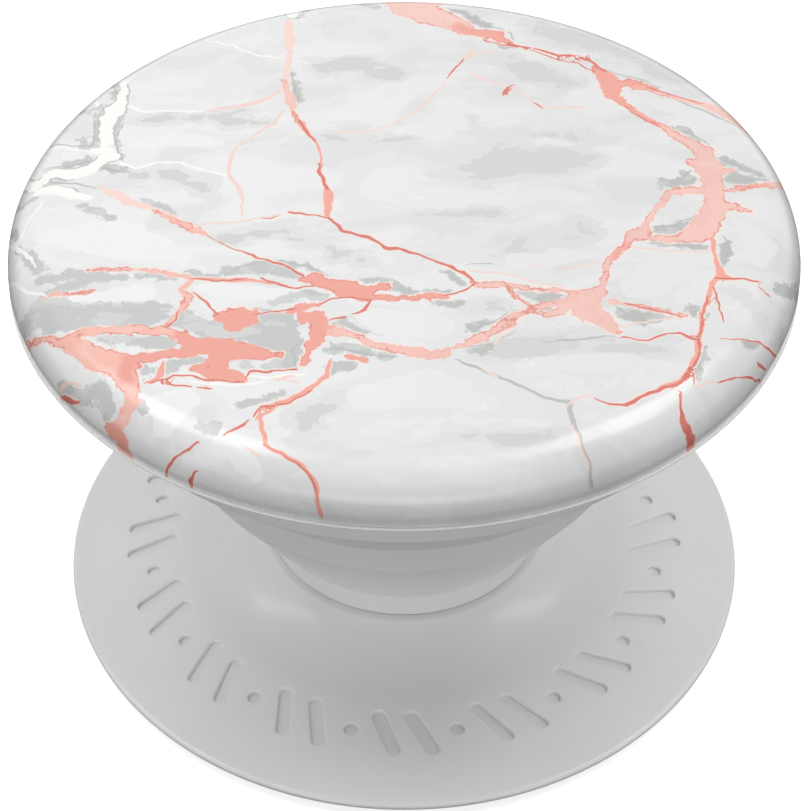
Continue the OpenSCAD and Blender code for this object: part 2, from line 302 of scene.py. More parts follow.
# ---------------------------------------------------------------- the marble print
# Each tone is painted as strokes of (x, y, half width), in millimetres on the cap as seen
# from above. The film's rounded edge is unrolled, so a stroke may run past the flat.
STROKES = {
    "mist": [
        [(-4.6, 5.8, 0.5), (-3, 5.2, 0.8), (-1, 5.4, 0.9), (0.4, 5.4, 0.4)],
        [(2.2, 2.6, 0.6), (4.6, 3, 1.4), (7.4, 3.2, 1.7), (9.4, 3.6, 0.6)],
        [(1, -0.7, 0.3), (2.6, -0.9, 0.4), (4.4, -1.1, 0.3)],
        [(-1.9, -9.3, 0.3), (-0.2, -9.2, 0.5), (1.6, -9.0, 0.3)],
        [(4.4, -3.6, 0.4), (6.4, -2.8, 0.7), (9, -2.6, 0.8)],
        [(3.6, 6.4, 0.2), (6, 6, 0.3), (9, 5.4, 0.5), (11.4, 5.6, 0.4)],
        [(3.2, 12.6, 0.4), (6, 12, 0.8), (8.4, 10.6, 1)],
        [(7.6, 15.4, 0.8), (11, 13.6, 1), (14.6, 10.8, 0.9)],
        [(-5.4, 12, 0.3), (-3, 12.2, 0.6), (-0.6, 11.4, 0.5)],
        [(-13.6, 7.2, 0.3), (-11.4, 7, 0.6), (-8.6, 7, 0.7), (-7, 6.6, 0.4)],
        [(-13.8, 2.2, 0.5), (-12, 2.2, 0.6), (-10.4, 1.2, 0.5), (-9.4, 0.2, 0.3)],
        [(-8.6, -2.6, 0.4), (-6, -2.4, 0.5), (-4.6, -3.4, 0.5), (-2, -4.4, 0.4)],
        [(-17.4, -8, 0.8), (-14.6, -8.5, 0.9), (-12, -8.6, 0.9)],
        [(3.6, -11.4, 0.5), (5.6, -11.1, 0.8), (8.6, -10.8, 0.8), (12, -11, 0.7)],
        [(3, -8.4, 0.4), (4.6, -8.2, 0.5)],
        [(-3.6, -15.2, 0.4), (-4.6, -16.4, 0.5), (-4.8, -17.4, 0.3)],
        [(15.8, -7.4, 0.4), (17, -8.6, 0.6), (18.6, -8.4, 0.5)],
        [(2.6, -16.8, 0.3), (5, -17.4, 0.5), (6.4, -17, 0.4)],
    ],
    "snow": [
        [(-17.4, -2.8, 0.5), (-14.6, -2.8, 1.4), (-12, -3.6, 0.9), (-10.6, -4.4, 0.3)],
        [(-15.6, -7.4, 0.2), (-13.8, -7, 0.55), (-12.4, -7.1, 0.5)],
        [(-9.6, -6.8, 0.25), (-7.8, -6.9, 0.45), (-5.8, -7, 0.3)],
        [(11.4, -6.6, 0.9), (12.6, -5.4, 1.2), (13.6, -4.8, 0.7)],
        [(-1.8, -8.9, 0.5), (0, -9.2, 1), (1.6, -9.4, 0.7)],
        [(5.4, -4.7, 0.4), (7.4, -4.4, 0.6), (9, -4.2, 0.3)],
        [(-11.6, -14.8, 0.4), (-10, -14.6, 0.7), (-10.8, -15.8, 0.5)],
        [(-9.8, -17.6, 0.3), (-7.8, -17.4, 0.4), (-6.8, -18.4, 0.3)],
        [(-1.8, -14.4, 0.8), (1, -13.8, 1.2), (3.6, -14.6, 0.6)],
        [(5.6, -12.4, 0.5), (8, -11.8, 0.6), (10.8, -12.4, 0.8)],
        [(12.4, 9, 0.25), (13.8, 8.2, 0.5), (15.2, 7.4, 0.3)],
        [(-3.6, 7.4, 0.3), (-1.8, 7.6, 0.5), (0, 9, 0.4)],
        [(-13.4, 5, 0.5), (-11, 5.2, 0.6), (-9.4, 5, 0.3)],
        [(16.6, -1.8, 0.5), (17.4, -3.4, 0.7), (17, -4.6, 0.4)],
    ],
    "smoke": [
        [(-19.6, -8.1, 0.4), (-17.4, -8.3, 0.6), (-14.8, -8.5, 0.55), (-12.6, -8.5, 0.6),
         (-11.4, -8.6, 0.35)],
        [(-16.8, -9.2, 0.3), (-14.4, -9.3, 0.35), (-12, -9.1, 0.4), (-11.3, -8.7, 0.3)],
        [(-10.3, -9, 0.6), (-9, -9.8, 0.6), (-7, -10.1, 0.8), (-5.6, -10.6, 0.9),
         (-5.2, -11.6, 0.6), (-6, -12.1, 0.3)],
        [(-6.6, -8.7, 0.35), (-5.7, -9.2, 0.6), (-5.9, -10, 0.6)],
        [(-12.2, -10.5, 0.3), (-11, -10.6, 0.3)],
        [(15, 5.2, 0.3), (14.2, 5.4, 0.25)],
        [(-11.7, -12.4, 0.15), (-11.6, -12.8, 0.12)],
        [(-7.2, -11.9, 0.2), (-7.1, -12.2, 0.15)],
        [(-6.2, -7.8, 0.15), (-4.9, -7, 0.25), (-3.8, -7.4, 0.2)],
        [(-8.6, -5.5, 0.2), (-7.2, -5.2, 0.4), (-6, -5.3, 0.4), (-5, -5.7, 0.25)],
        [(-6, -4.9, 0.1), (-4.6, -5, 0.15), (-3.8, -5.7, 0.15)],
        [(-17.4, -5.9, 0.2), (-15.8, -5.8, 0.35), (-14.5, -5.7, 0.3), (-13.4, -5.8, 0.15)],
        [(-12.8, -5.7, 0.12), (-11, -5.9, 0.2), (-10.2, -5.7, 0.15), (-9, -5.8, 0.1)],
        [(-17.2, -7, 0.15), (-16, -6.6, 0.25), (-15.2, -6.1, 0.25)],
        [(-12.2, -8, 0.25), (-11.3, -7.9, 0.2)],
        [(-14, -10.3, 0.15), (-12.4, -10.5, 0.25), (-11.2, -10.9, 0.25)],
        [(-13.8, -11.3, 0.12), (-12.8, -11.4, 0.12)],
        [(-10.8, -12.4, 0.45), (-10.1, -11.8, 0.3), (-9.2, -12, 0.15)],
        [(-11.8, -12.4, 0.2), (-11.7, -12.9, 0.2)],
        [(-16.4, -12.5, 0.3), (-15.2, -13.3, 0.35), (-14, -13.4, 0.4), (-13.8, -14.3, 0.4)],
        [(-3.3, -11, 0.25), (-2, -11.2, 0.25), (-0.6, -11.5, 0.15)],
        [(-3.2, -12.4, 0.25), (-2.5, -12.2, 0.2)],
        [(-3, -9.2, 0.2), (-2, -9.8, 0.12)],
        [(-9.1, -16.2, 0.25), (-8.5, -16.2, 0.25)],
        [(-7.4, -14.8, 0.12), (-5.6, -14.2, 0.12)],
        [(-12.1, -14.3, 0.15), (-11.8, -14.8, 0.2)],
        [(-1.9, -6.1, 0.1), (-0.8, -6, 0.12), (-0.3, -6.8, 0.2), (0.5, -7, 0.12)],
        [(1, -6.9, 0.1), (2, -7, 0.15)],
        [(1.6, -7.8, 0.12), (2.6, -7.9, 0.15)],
        [(2.2, -5.5, 0.12), (2.7, -6.2, 0.1)],
        [(5.6, -6.9, 0.2), (6.4, -7.2, 0.35), (7.2, -7.4, 0.3)],
        [(6.4, -8.2, 0.15), (6.9, -8.1, 0.12)],
        [(5.2, -9, 0.12), (4.6, -9.6, 0.15)],
        [(3.2, -9.6, 0.25), (3.9, -9.2, 0.15)],
        [(3.2, -11.2, 0.25), (3.9, -10.9, 0.15)],
        [(10.2, -8.6, 0.25), (11, -8.8, 0.45), (11.8, -8.6, 0.3), (12.3, -8.3, 0.1)],
        [(13.5, -8.3, 0.25), (14.1, -8.7, 0.25)],
        [(13.8, -10.8, 0.06), (13.8, -11.6, 0.1), (13.2, -12.9, 0.1)],
        [(15.7, -3.2, 0.2), (15.7, -4.2, 0.2), (15.3, -4.8, 0.1)],
        [(13, 1.5, 0.25), (13.8, 1.3, 0.35), (14.4, 1.9, 0.3), (14.2, 2.5, 0.1)],
        [(12.5, -2.3, 0.2), (13.3, -2.2, 0.25), (14.2, -1.7, 0.15)],
        [(12.2, -3.2, 0.1), (13.6, -3.4, 0.15), (14.6, -3.6, 0.12)],
        [(16.3, 3.5, 0.25), (17, 3.1, 0.25), (17.8, 2.3, 0.15)],
        [(16.6, 2, 0.35), (17.3, 1.7, 0.3)],
        [(13.6, 6.4, 0.1), (14.8, 6.1, 0.15), (15, 5.6, 0.1)],
        [(2.6, 17.5, 0.12), (3.4, 17.1, 0.12), (4, 16.2, 0.2), (4.7, 15.9, 0.15)],
        [(3, 20.1, 0.15), (4.4, 20.5, 0.15), (5.4, 20.6, 0.1)],
        [(5.1, 14, 0.12), (6, 13.7, 0.1)],
        [(-5.9, 11.2, 0.1), (-5.7, 9.8, 0.15), (-5.6, 8.9, 0.15)],
        [(-14.8, 7.2, 0.1), (-15, 6, 0.15), (-14.9, 5, 0.1), (-14.5, 3.9, 0.1)],
        [(-15.9, 8.2, 0.1), (-16, 6.4, 0.1), (-16, 4.4, 0.12)],
        [(-15.4, 3, 0.2), (-14.4, 2.7, 0.2)],
        [(-17.1, 3, 0.25), (-16.3, 3.4, 0.3)],
        [(-17.8, 1.5, 0.15), (-17.3, 1.8, 0.15)],
        [(-16.7, 5.2, 0.1), (-16.4, 4.5, 0.2)],
        [(-16, -0.4, 0.15), (-15.2, -0.8, 0.2), (-14.4, -1.4, 0.1)],
        [(-13, 0.1, 0.12), (-12.2, -0.4, 0.15), (-11.5, -0.9, 0.1)],
        [(-19.2, -3, 0.2), (-18.4, -4.1, 0.25), (-17.4, -5.3, 0.15)],
        [(-16.9, 12.9, 0.2), (-16, 11.6, 0.12), (-15.3, 10.2, 0.15), (-15.4, 9, 0.15)],
        [(-17.6, 11.6, 0.15), (-17.3, 10.4, 0.12)],
        [(-17.6, 8.8, 0.12), (-16.6, 7.8, 0.15)],
        [(-20.6, 3.8, 0.15), (-19.4, 2, 0.15), (-18.6, 1.3, 0.1)],
        [(-20.8, 1.2, 0.15), (-19.4, 0.3, 0.15), (-18.4, 0.5, 0.1)],
        [(-20.4, -0.6, 0.15), (-19.4, -1.8, 0.12)],
        [(18, -6.3, 0.15), (19, -5.8, 0.3), (20, -5.2, 0.3)],
        [(15.8, -10.3, 0.08), (16.6, -10.2, 0.1)],
        [(-2.6, 19.4, 0.2), (-2.8, 18.6, 0.15), (-1.6, 17.8, 0.12)],
        [(-5.7, 19, 0.1), (-5.5, 18, 0.12), (-5.8, 17, 0.1)],
    ],
    "cream": [
        [(-16.4, 13.4, 0.15), (-15.7, 12.6, 0.12), (-15.1, 11, 0.12), (-14.8, 9.4, 0.15)],
        [(-15, 9.3, 0.15), (-14.9, 8.6, 0.3), (-15.2, 7.8, 0.5), (-15.5, 6.8, 0.35),
         (-15.5, 5.8, 0.35), (-15.3, 5, 0.35)],
        [(-15.9, 4.2, 0.2), (-15.2, 4.3, 0.3), (-14.9, 3.8, 0.3), (-15.4, 3.6, 0.3),
         (-15.9, 2.8, 0.3), (-16.6, 2.4, 0.45), (-17.8, 2.3, 0.3), (-18.6, 1.6, 0.3),
         (-19.8, 2.6, 0.25)],
        [(-18.4, 0.9, 0.25), (-17.4, 1, 0.3), (-16.6, 0.6, 0.35), (-15.8, 0.3, 0.2)],
        [(-6.5, 18.9, 0.3), (-6.2, 17.9, 0.4), (-6.1, 17, 0.3)],
    ],
    "petal": [
        [(-7.6, 20.3, 0.25), (-7, 19.6, 0.2), (-6.6, 19, 0.1)],
        [(-6.3, 16.6, 0.1), (-6.4, 15, 0.22), (-6.3, 13.8, 0.14), (-6.3, 12.4, 0.12),
         (-6.2, 11, 0.15), (-6.4, 9.9, 0.2), (-6.3, 9, 0.12)],
        [(-15.2, 1.2, 0.12), (-14.2, 0.5, 0.28), (-13.3, -0.2, 0.2), (-12.3, -0.8, 0.16),
         (-11.2, -1.4, 0.22), (-10.4, -2, 0.15)],
        [(16.8, 13.6, 0.1), (17.4, 12.2, 0.15), (17.9, 10.6, 0.2), (18.1, 9.2, 0.15)],
    ],
    "peach": [
        [(-1, 19.4, 1.1), (0.5, 19, 1.8), (2, 19.2, 0.9)],
        [(0, 20.8, 1), (3, 21.2, 0.6), (5.8, 20.8, 0.2)],
        [(0.2, 18, 1.1), (1.4, 17, 0.9), (2.6, 16.2, 0.75), (3.4, 15.6, 0.6)],
        [(-6.3, 10.6, 0.12), (-6.2, 9.8, 0.2), (-6, 8.6, 0.15), (-5.8, 7.4, 0.12),
         (-5.5, 6.8, 0.2)],
        [(-12.6, -0.7, 0.1), (-11.2, -1.5, 0.18), (-10.3, -2.2, 0.18), (-9.8, -2.5, 0.1)],
        [(-20.6, -8.5, 0.15), (-18.6, -9.1, 0.12), (-16.8, -9.7, 0.12), (-15.7, -10.3, 0.35),
         (-15, -10.9, 0.5), (-14, -11.7, 0.65), (-12.9, -12.2, 0.85), (-12.5, -13.4, 0.5),
         (-12.3, -14.3, 0.35), (-13, -15.1, 0.3), (-13.8, -15.4, 0.45)],
        [(-15.8, -9.9, 0.15), (-14, -9.7, 0.25), (-12.8, -9.7, 0.3), (-11.2, -9.8, 0.3),
         (-10.4, -10.2, 0.3)],
        [(-15.2, -5.3, 0.08), (-13.8, -5.2, 0.12), (-12, -5.4, 0.13), (-10.8, -5.8, 0.12),
         (-10.1, -6, 0.12)],
        [(-17.2, -7.3, 0.1), (-15.6, -7, 0.12), (-14.6, -6.7, 0.08)],
        [(-10.2, -6.2, 0.15), (-10.7, -6.8, 0.12), (-10.2, -7.4, 0.18), (-10.5, -8.2, 0.14),
         (-10.9, -9.2, 0.08), (-11, -9.6, 0.08)],
        [(-3.4, -9.8, 0.3), (-2.4, -10.1, 0.2), (-1.2, -10.8, 0.18), (0, -11.1, 0.28),
         (1.2, -11.5, 0.32), (1.8, -11.4, 0.25)],
        [(1.8, -11.1, 0.12), (2.8, -10.8, 0.15), (3.4, -10.4, 0.28), (4.2, -9.8, 0.18),
         (4.8, -9, 0.12), (5.8, -8.4, 0.12), (6.6, -8.6, 0.14), (7.4, -8.3, 0.3)],
        [(3.6, -10.4, 0.1), (4.6, -9.6, 0.1), (5.4, -8.8, 0.1), (6.2, -8, 0.14),
         (7, -7.8, 0.2)],
        [(7.6, -7.9, 0.4), (8.6, -7.5, 0.7), (9.2, -7, 0.45), (9.5, -6.2, 0.16)],
        [(8.4, -8.2, 0.55), (9.2, -8.9, 0.55), (9.6, -9.5, 0.3), (10, -9.9, 0.12)],
        [(9.5, -6.4, 0.14), (9.8, -5.2, 0.14), (10.2, -4.1, 0.18), (10.8, -3.4, 0.18),
         (11.2, -2.6, 0.3), (11.8, -2.3, 0.3), (12, -1.6, 0.15), (12.6, -0.4, 0.12),
         (13.2, 0.7, 0.2), (14.2, 0.9, 0.22), (15.2, 1, 0.3)],
        [(11.4, -2.7, 0.3), (12.2, -2.8, 0.2), (13.4, -2.9, 0.25), (14.3, -2.6, 0.55),
         (14.9, -1.8, 0.65), (15.4, -0.6, 0.65), (15.5, 0.6, 0.45), (15.5, 2, 0.55),
         (15.4, 3.2, 0.65), (15.4, 4.2, 0.5), (14.8, 4.9, 0.3), (13.9, 5.9, 0.3),
         (13.3, 6.6, 0.2)],
        [(15.6, -0.4, 0.35), (16.2, -0.3, 0.25), (17.1, -0.8, 0.12)],
        [(15.8, 2.4, 0.25), (16.7, 2.6, 0.1)],
        [(14.4, 3.4, 0.12), (15, 3.3, 0.2)],
        [(3.2, -6.3, 0.14), (4.2, -6.4, 0.16), (5.2, -6.6, 0.12), (6.4, -6.7, 0.1),
         (7.6, -6.9, 0.14), (8.4, -7.2, 0.25)],
        [(4.8, -6.6, 0.12), (5.4, -7.4, 0.1), (6, -7.9, 0.1)],
        [(9.8, -7.7, 0.15), (11, -7.9, 0.12), (12.4, -8.5, 0.12), (13.4, -8.8, 0.1)],
        [(12, 10.4, 0.35), (13, 9.9, 0.25), (14, 9.2, 0.15), (15.2, 8.6, 0.2),
         (16.4, 8.1, 0.4), (17.6, 7.5, 0.35), (18.8, 6.4, 0.2)],
        [(16, 0.9, 0.1), (17.2, 1.1, 0.15), (18.2, 1.5, 0.22), (19.4, 2.4, 0.15)],
    ],
    "salmon": [
        [(3, 15.7, 0.25), (4, 15.2, 0.35), (4.9, 14.8, 0.3), (5.8, 14.2, 0.15)],
        [(4.4, 15.4, 0.15), (5.4, 15.1, 0.14)],
        [(10.2, 11.9, 0.15), (10.8, 10.9, 0.45), (11, 10.1, 0.6), (11.1, 9.2, 0.4),
         (11.7, 8.3, 0.2), (12.5, 7.4, 0.16), (13.2, 6.7, 0.12)],
        [(11.2, 10.3, 0.35), (12.4, 10.4, 0.25), (13.3, 9.8, 0.12)],
        [(-8.7, -8.7, 0.3), (-8, -8.8, 0.7), (-7.4, -8.7, 0.6), (-8, -9.5, 0.4)],
        [(-10.4, -10.2, 0.35), (-9.6, -10.8, 0.5), (-8.6, -11, 0.7), (-7.4, -11.2, 0.6),
         (-6.5, -11.4, 0.35), (-5.8, -11.5, 0.15)],
        [(-12.4, -11.8, 0.35), (-11, -11.4, 0.25), (-10, -11.2, 0.4)],
        [(-8.6, -11.6, 0.5), (-8.5, -12.4, 0.5)],
        [(-9.6, -12.4, 0.2), (-8.6, -12.7, 0.45), (-7.4, -13, 0.3)],
        [(-12.4, -12, 0.3), (-12.7, -12.9, 0.3)],
        [(-4.9, -6, 0.15), (-4.2, -6, 0.45), (-3.6, -6.4, 0.35), (-2.8, -6.7, 0.55),
         (-1.9, -7.1, 0.5), (-1.4, -6.6, 0.25), (-0.8, -6.4, 0.15)],
        [(-1.5, -7.4, 0.25), (0, -7.4, 0.12), (1.2, -7.3, 0.22), (2, -7.3, 0.12)],
        [(-5.5, -8.4, 0.12), (-4.8, -8.1, 0.22), (-4, -7.9, 0.14)],
        [(-4.7, -8.7, 0.35), (-4.1, -8.8, 0.45), (-4, -9.6, 0.4), (-4, -10.3, 0.38),
         (-4.4, -11.1, 0.15), (-4.6, -12.2, 0.18)],
        [(-2.6, -11.6, 0.15), (-1.8, -11.8, 0.1)],
        [(-13.8, -15.4, 0.35), (-13.4, -16, 0.35), (-14.2, -16.8, 0.5), (-15.2, -18.2, 0.6)],
        [(10.8, -3.3, 0.1), (10.2, -4.2, 0.1)],
        [(17, 1, 0.08), (18.2, 1.5, 0.12)],
    ],
}
# Thin lines, drawn the same way but to their true width, which may be less than the mesh's
LINES = {
    "pearl": [
        [(-10.8, 14.6, 0.05), (-9.4, 14, 0.06), (-8, 13.1, 0.07), (-6.8, 12.8, 0.06)],
        [(-10, 18.8, 0.09), (-10.9, 17.2, 0.08), (-11.3, 16.2, 0.05)],
        [(-14.4, 3.3, 0.12), (-13.6, 2.9, 0.09), (-12.4, 3.3, 0.07), (-11.4, 3.3, 0.08),
         (-10.2, 2.6, 0.07), (-9, 2.2, 0.08)],
        [(-14.4, 8.2, 0.1), (-13.6, 7.7, 0.1), (-12, 7.8, 0.08), (-10.4, 7.9, 0.1)],
        [(-16, 4.1, 0.08), (-17, 4.4, 0.08), (-19, 5.4, 0.1), (-20.6, 6.4, 0.12)],
        [(-20.6, -1.6, 0.12), (-19.4, -2.6, 0.15), (-18.6, -3.7, 0.12), (-17.9, -4.9, 0.06)],
        [(-18, 0, 0.08), (-18.7, -1.2, 0.1), (-19, -2.4, 0.1)],
        [(-17.4, 12.2, 0.1), (-16.4, 9.8, 0.15), (-16.2, 8.4, 0.1)],
        [(-20.6, -4.2, 0.12), (-19.2, -5.4, 0.12), (-18, -6.4, 0.1), (-17, -7.2, 0.06)],
        [(-4.6, -12.8, 0.08), (-5.8, -13, 0.1), (-7.2, -12.8, 0.06)],
        [(-9.6, -13.3, 0.06), (-8, -13.5, 0.08), (-6.4, -13.3, 0.05)],
    ],
    "slate": [
        [(12.2, 9.8, 0.05), (13.6, 9.5, 0.06), (15, 8.2, 0.08), (16.4, 7.3, 0.09),
         (18.2, 6.6, 0.1)],
        [(2.5, 17.6, 0.06), (3.4, 17.1, 0.09), (4, 16.3, 0.09), (5, 15.7, 0.07),
         (5.8, 15.1, 0.08), (6, 14.5, 0.05)],
        [(10.8, 11.6, 0.06), (11.6, 11.1, 0.05), (12.6, 10.7, 0.06), (13.6, 9.9, 0.05)],
        [(13.6, 6.6, 0.05), (14.4, 6, 0.06), (15.1, 5.6, 0.08), (15.7, 4.9, 0.05)],
        [(12.8, 1.9, 0.05), (13.5, 1.6, 0.12), (14.1, 2, 0.1), (14.6, 2.7, 0.05)],
        [(16.1, 3.6, 0.06), (16.8, 3.2, 0.09), (17.4, 2.5, 0.06)],
        [(16.4, 1.8, 0.05), (17.2, 1.7, 0.08), (18.4, 2.1, 0.06)],
        [(6.6, -10.6, 0.03), (8.4, -10.3, 0.07), (9.8, -10.1, 0.03)],
        [(2.4, -11.8, 0.05), (3.4, -12.4, 0.1), (5, -13.3, 0.09), (6.2, -14.3, 0.09),
         (7.3, -14.6, 0.12), (7.6, -16, 0.1), (8.1, -17.4, 0.08), (8.7, -19, 0.12)],
        [(15.6, -2.6, 0.04), (15.9, -3.8, 0.09), (15.3, -5, 0.04)],
        [(11.4, -3.1, 0.04), (13, -2.9, 0.09), (14.6, -3.1, 0.05)],
        [(12.3, -2, 0.04), (13.4, -1.9, 0.08), (14.3, -1.2, 0.04)],
        [(9.9, -7.6, 0.04), (11, -7.9, 0.05), (12.3, -8.5, 0.08), (13.6, -8.8, 0.1),
         (13.9, -8.1, 0.05)],
        [(10, -8, 0.04), (10.6, -8.8, 0.06), (11.6, -9.1, 0.05), (12.4, -8.8, 0.04)],
        [(3, -4.8, 0.03), (4.2, -4.9, 0.05)],
        [(5.4, -6.7, 0.04), (6.8, -6.8, 0.07), (7.6, -7.3, 0.04)],
        [(3.4, -9.7, 0.04), (4.3, -9, 0.05), (5.4, -8.3, 0.03)],
        [(3, -10.9, 0.06), (4, -10.7, 0.04), (5, -9.8, 0.03)],
        [(-8.6, -5.6, 0.03), (-7.4, -4.9, 0.05), (-6, -4.7, 0.05), (-4.6, -5, 0.06),
         (-3.8, -5.6, 0.04)],
        [(-5.9, 11.4, 0.04), (-5.8, 10, 0.08), (-5.6, 8.7, 0.07)],
        [(-16.8, 12.2, 0.04), (-15.8, 11.4, 0.06), (-15.3, 9.6, 0.05), (-14.6, 8.4, 0.04)],
        [(-14.6, 6.6, 0.03), (-14.9, 5.2, 0.06), (-14.7, 4.2, 0.08), (-14.2, 3, 0.05)],
        [(-16.2, 7.6, 0.03), (-16.1, 6, 0.05), (-16, 4.6, 0.06), (-17.2, 4.7, 0.05),
         (-18.6, 5.6, 0.05)],
        [(-18.4, 2.9, 0.05), (-17.2, 2.9, 0.08), (-16.2, 3.4, 0.08), (-15, 2.7, 0.1),
         (-14, 2.5, 0.04)],
        [(-17.8, 1.6, 0.06), (-16.6, 1.6, 0.08), (-15.6, 1.1, 0.05)],
        [(-3.4, -11, 0.05), (-2.2, -11.3, 0.07), (-0.4, -11.6, 0.04)],
        [(-4.9, -12.4, 0.04), (-5.2, -11.2, 0.06), (-4.7, -10.2, 0.04)],
    ],
    "blush": [
        [(-8, -1.1, 0.06), (-8, 0.2, 0.08), (-8.4, 1.4, 0.12), (-8.9, 2.1, 0.12),
         (-8.9, 3.4, 0.1), (-8.6, 4.6, 0.07), (-7.8, 5.6, 0.07), (-6.9, 6.6, 0.08),
         (-6.4, 7.8, 0.08)],
        [(-10.4, 7.9, 0.08), (-9, 8.3, 0.14), (-8, 8.6, 0.15), (-7.2, 8.9, 0.1),
         (-6.6, 9.7, 0.07)],
        [(3.6, -12.4, 0.07), (4.2, -12.9, 0.07)],
        [(7.6, -16.2, 0.03), (7.9, -17.2, 0.08), (8.3, -18.2, 0.04)],
        [(-10.4, -1.9, 0.05), (-9, -1.7, 0.06), (-7.8, -1.5, 0.06), (-6.8, -1.3, 0.07),
         (-6.1, -0.9, 0.06)],
        [(3.2, -5.4, 0.05), (5, -5.7, 0.07), (6.4, -6.2, 0.06), (7.6, -6.6, 0.08)],
        [(6.2, -4.8, 0.05), (6.6, -5.1, 0.05)],
        [(7.2, -5.3, 0.04), (8.2, -5.2, 0.05), (9.4, -4.8, 0.06)],
        [(2.2, 10.4, 0.04), (1.4, 9, 0.06), (0.4, 7.6, 0.05), (-0.6, 6.6, 0.07),
         (-1.8, 6, 0.05), (-3.6, 5.8, 0.05)],
        [(11, -3.6, 0.05), (13.2, -3.9, 0.06), (14.8, -3.9, 0.06)],
        [(3.7, 13.5, 0.12), (3.4, 12.8, 0.12), (4.4, 13.4, 0.05), (5, 13.6, 0.05)],
        [(3.6, 11.2, 0.08), (4.2, 10.8, 0.09), (5, 10.3, 0.05), (6.2, 9.6, 0.05),
         (6.8, 8.7, 0.08), (7.4, 8.2, 0.07), (9.4, 8.05, 0.06)],
        [(7.2, -14.9, 0.06), (7.6, -14.5, 0.09), (8.2, -14.3, 0.08)],
        [(-17.6, -12.6, 0.1), (-16, -12.3, 0.08), (-15.2, -12.6, 0.08)],
        [(-5, -12.9, 0.05), (-5.8, -13.1, 0.07), (-4.8, -13.4, 0.05)],
        [(-7, -17.4, 0.06), (-6.4, -17.8, 0.06)],
        [(13.2, -13.4, 0.05), (14.4, -12.8, 0.05)],
        [(10, -9.6, 0.06), (11.6, -8.9, 0.05), (13, -8.9, 0.07)],
        [(-4.5, 4.4, 0.08), (-4.3, 3.6, 0.07), (-4.3, 2.9, 0.08)],
        [(3.8, -10, 0.06), (4.8, -8.9, 0.06), (5.6, -8.2, 0.06)],
        [(4.2, -10.6, 0.06), (5, -9.4, 0.05)],
        [(15, -3.2, 0.06), (15.1, -4.4, 0.07)],
    ],
    "coral": [
        [(15.1, -2.9, 0.1), (15, -4.6, 0.12), (15.2, -5.6, 0.18), (14.7, -6.4, 0.13),
         (14.4, -7.6, 0.11), (14, -8.6, 0.12), (13.9, -9.4, 0.13), (13.7, -10.3, 0.16),
         (13.5, -11.3, 0.15), (13.1, -12.3, 0.15), (12.5, -13.2, 0.13), (11.6, -13.8, 0.06)],
        [(15.2, -5.8, 0.2), (15.9, -5.95, 0.08), (16.9, -6, 0.05)],
        [(-5.4, 6.6, 0.18), (-5, 5.8, 0.12), (-4.5, 4.9, 0.07), (-4.3, 4, 0.05),
         (-4.25, 3, 0.06), (-4.2, 2, 0.06)],
        [(-4.1, 1.5, 0.08), (-3.8, 0.4, 0.24), (-3.75, -0.4, 0.22), (-3.8, -1, 0.12)],
        [(-10.1, -6, 0.1), (-8.8, -6.1, 0.12), (-7.6, -6.1, 0.14), (-6.7, -6.2, 0.1),
         (-5.6, -6.5, 0.06)],
        [(-3.3, -11.9, 0.08), (-3.5, -12.9, 0.12), (-4.1, -13.6, 0.12), (-5, -14.3, 0.15),
         (-5.8, -14.9, 0.16), (-6.4, -15, 0.12), (-6.7, -15.5, 0.06)],
        [(-5.7, -15, 0.1), (-6, -15.4, 0.08), (-6.4, -15.7, 0.1), (-6.3, -16.6, 0.09),
         (-6.1, -17.3, 0.09), (-5.2, -17.9, 0.11), (-4.4, -18.5, 0.12), (-3.9, -19.4, 0.11),
         (-3.8, -21, 0.12)],
        [(-11.1, -12, 0.08), (-11, -12.9, 0.16), (-11.3, -13.2, 0.1), (-11.7, -13.3, 0.05)],
    ],
    "rust": [
        [(14.4, -7.4, 0.04), (13.9, -9.2, 0.06), (13.7, -10.3, 0.06), (13.6, -11.3, 0.07),
         (13.2, -12.4, 0.07), (12.6, -13.3, 0.06)],
        [(-4.2, -13.8, 0.03), (-5.2, -14.6, 0.05), (-6, -15.1, 0.04)],
        [(-6.2, -17.2, 0.03), (-5.1, -18, 0.05), (-4.2, -18.8, 0.05), (-3.8, -20, 0.04)],
        [(5.8, 14.1, 0.09), (7.4, 13.5, 0.08), (8.4, 13, 0.1), (9.4, 12.9, 0.07),
         (10.2, 12.2, 0.09), (10.7, 11.5, 0.07)],
        [(6.6, 13.6, 0.05), (8.2, 12.7, 0.05), (9.4, 12.2, 0.05), (10.2, 11.5, 0.06)],
        [(8.4, 12.8, 0.05), (9, 13.1, 0.05), (9.4, 12.6, 0.05), (9.8, 12.9, 0.05),
         (10, 12.3, 0.06)],
        [(3.3, 12.6, 0.06), (2.8, 11.8, 0.08), (2.3, 10.8, 0.04)],
        [(5.8, 10.1, 0.05), (5.5, 9.9, 0.1), (5.3, 9.4, 0.14), (5.6, 9.6, 0.06)],
        [(6.9, 8.6, 0.05), (7.2, 8.2, 0.06)],
        [(4.4, 14.4, 0.05), (5.4, 14, 0.05), (6.2, 13.8, 0.05)],
        [(-4.4, 3.1, 0.06), (-4.2, 2, 0.1), (-4, 1.2, 0.08)],
        [(-5.5, 6.9, 0.06), (-5.1, 6, 0.07), (-4.7, 5.2, 0.05)],
        [(-3.8, -1.2, 0.08), (-3, -2.2, 0.13), (-2, -2.8, 0.1), (-1, -3.6, 0.11),
         (0, -3.8, 0.12), (0.4, -4, 0.08), (1.2, -4.4, 0.07), (2.2, -4.9, 0.09),
         (2.8, -5.4, 0.08), (3.3, -6.1, 0.09)],
        [(0.9, -4.2, 0.04), (1.8, -4.7, 0.04), (2.5, -5, 0.05), (3, -5.8, 0.05)],
        [(-5.6, -0.8, 0.08), (-4.6, -0.9, 0.06), (-3.8, -1.2, 0.06)],
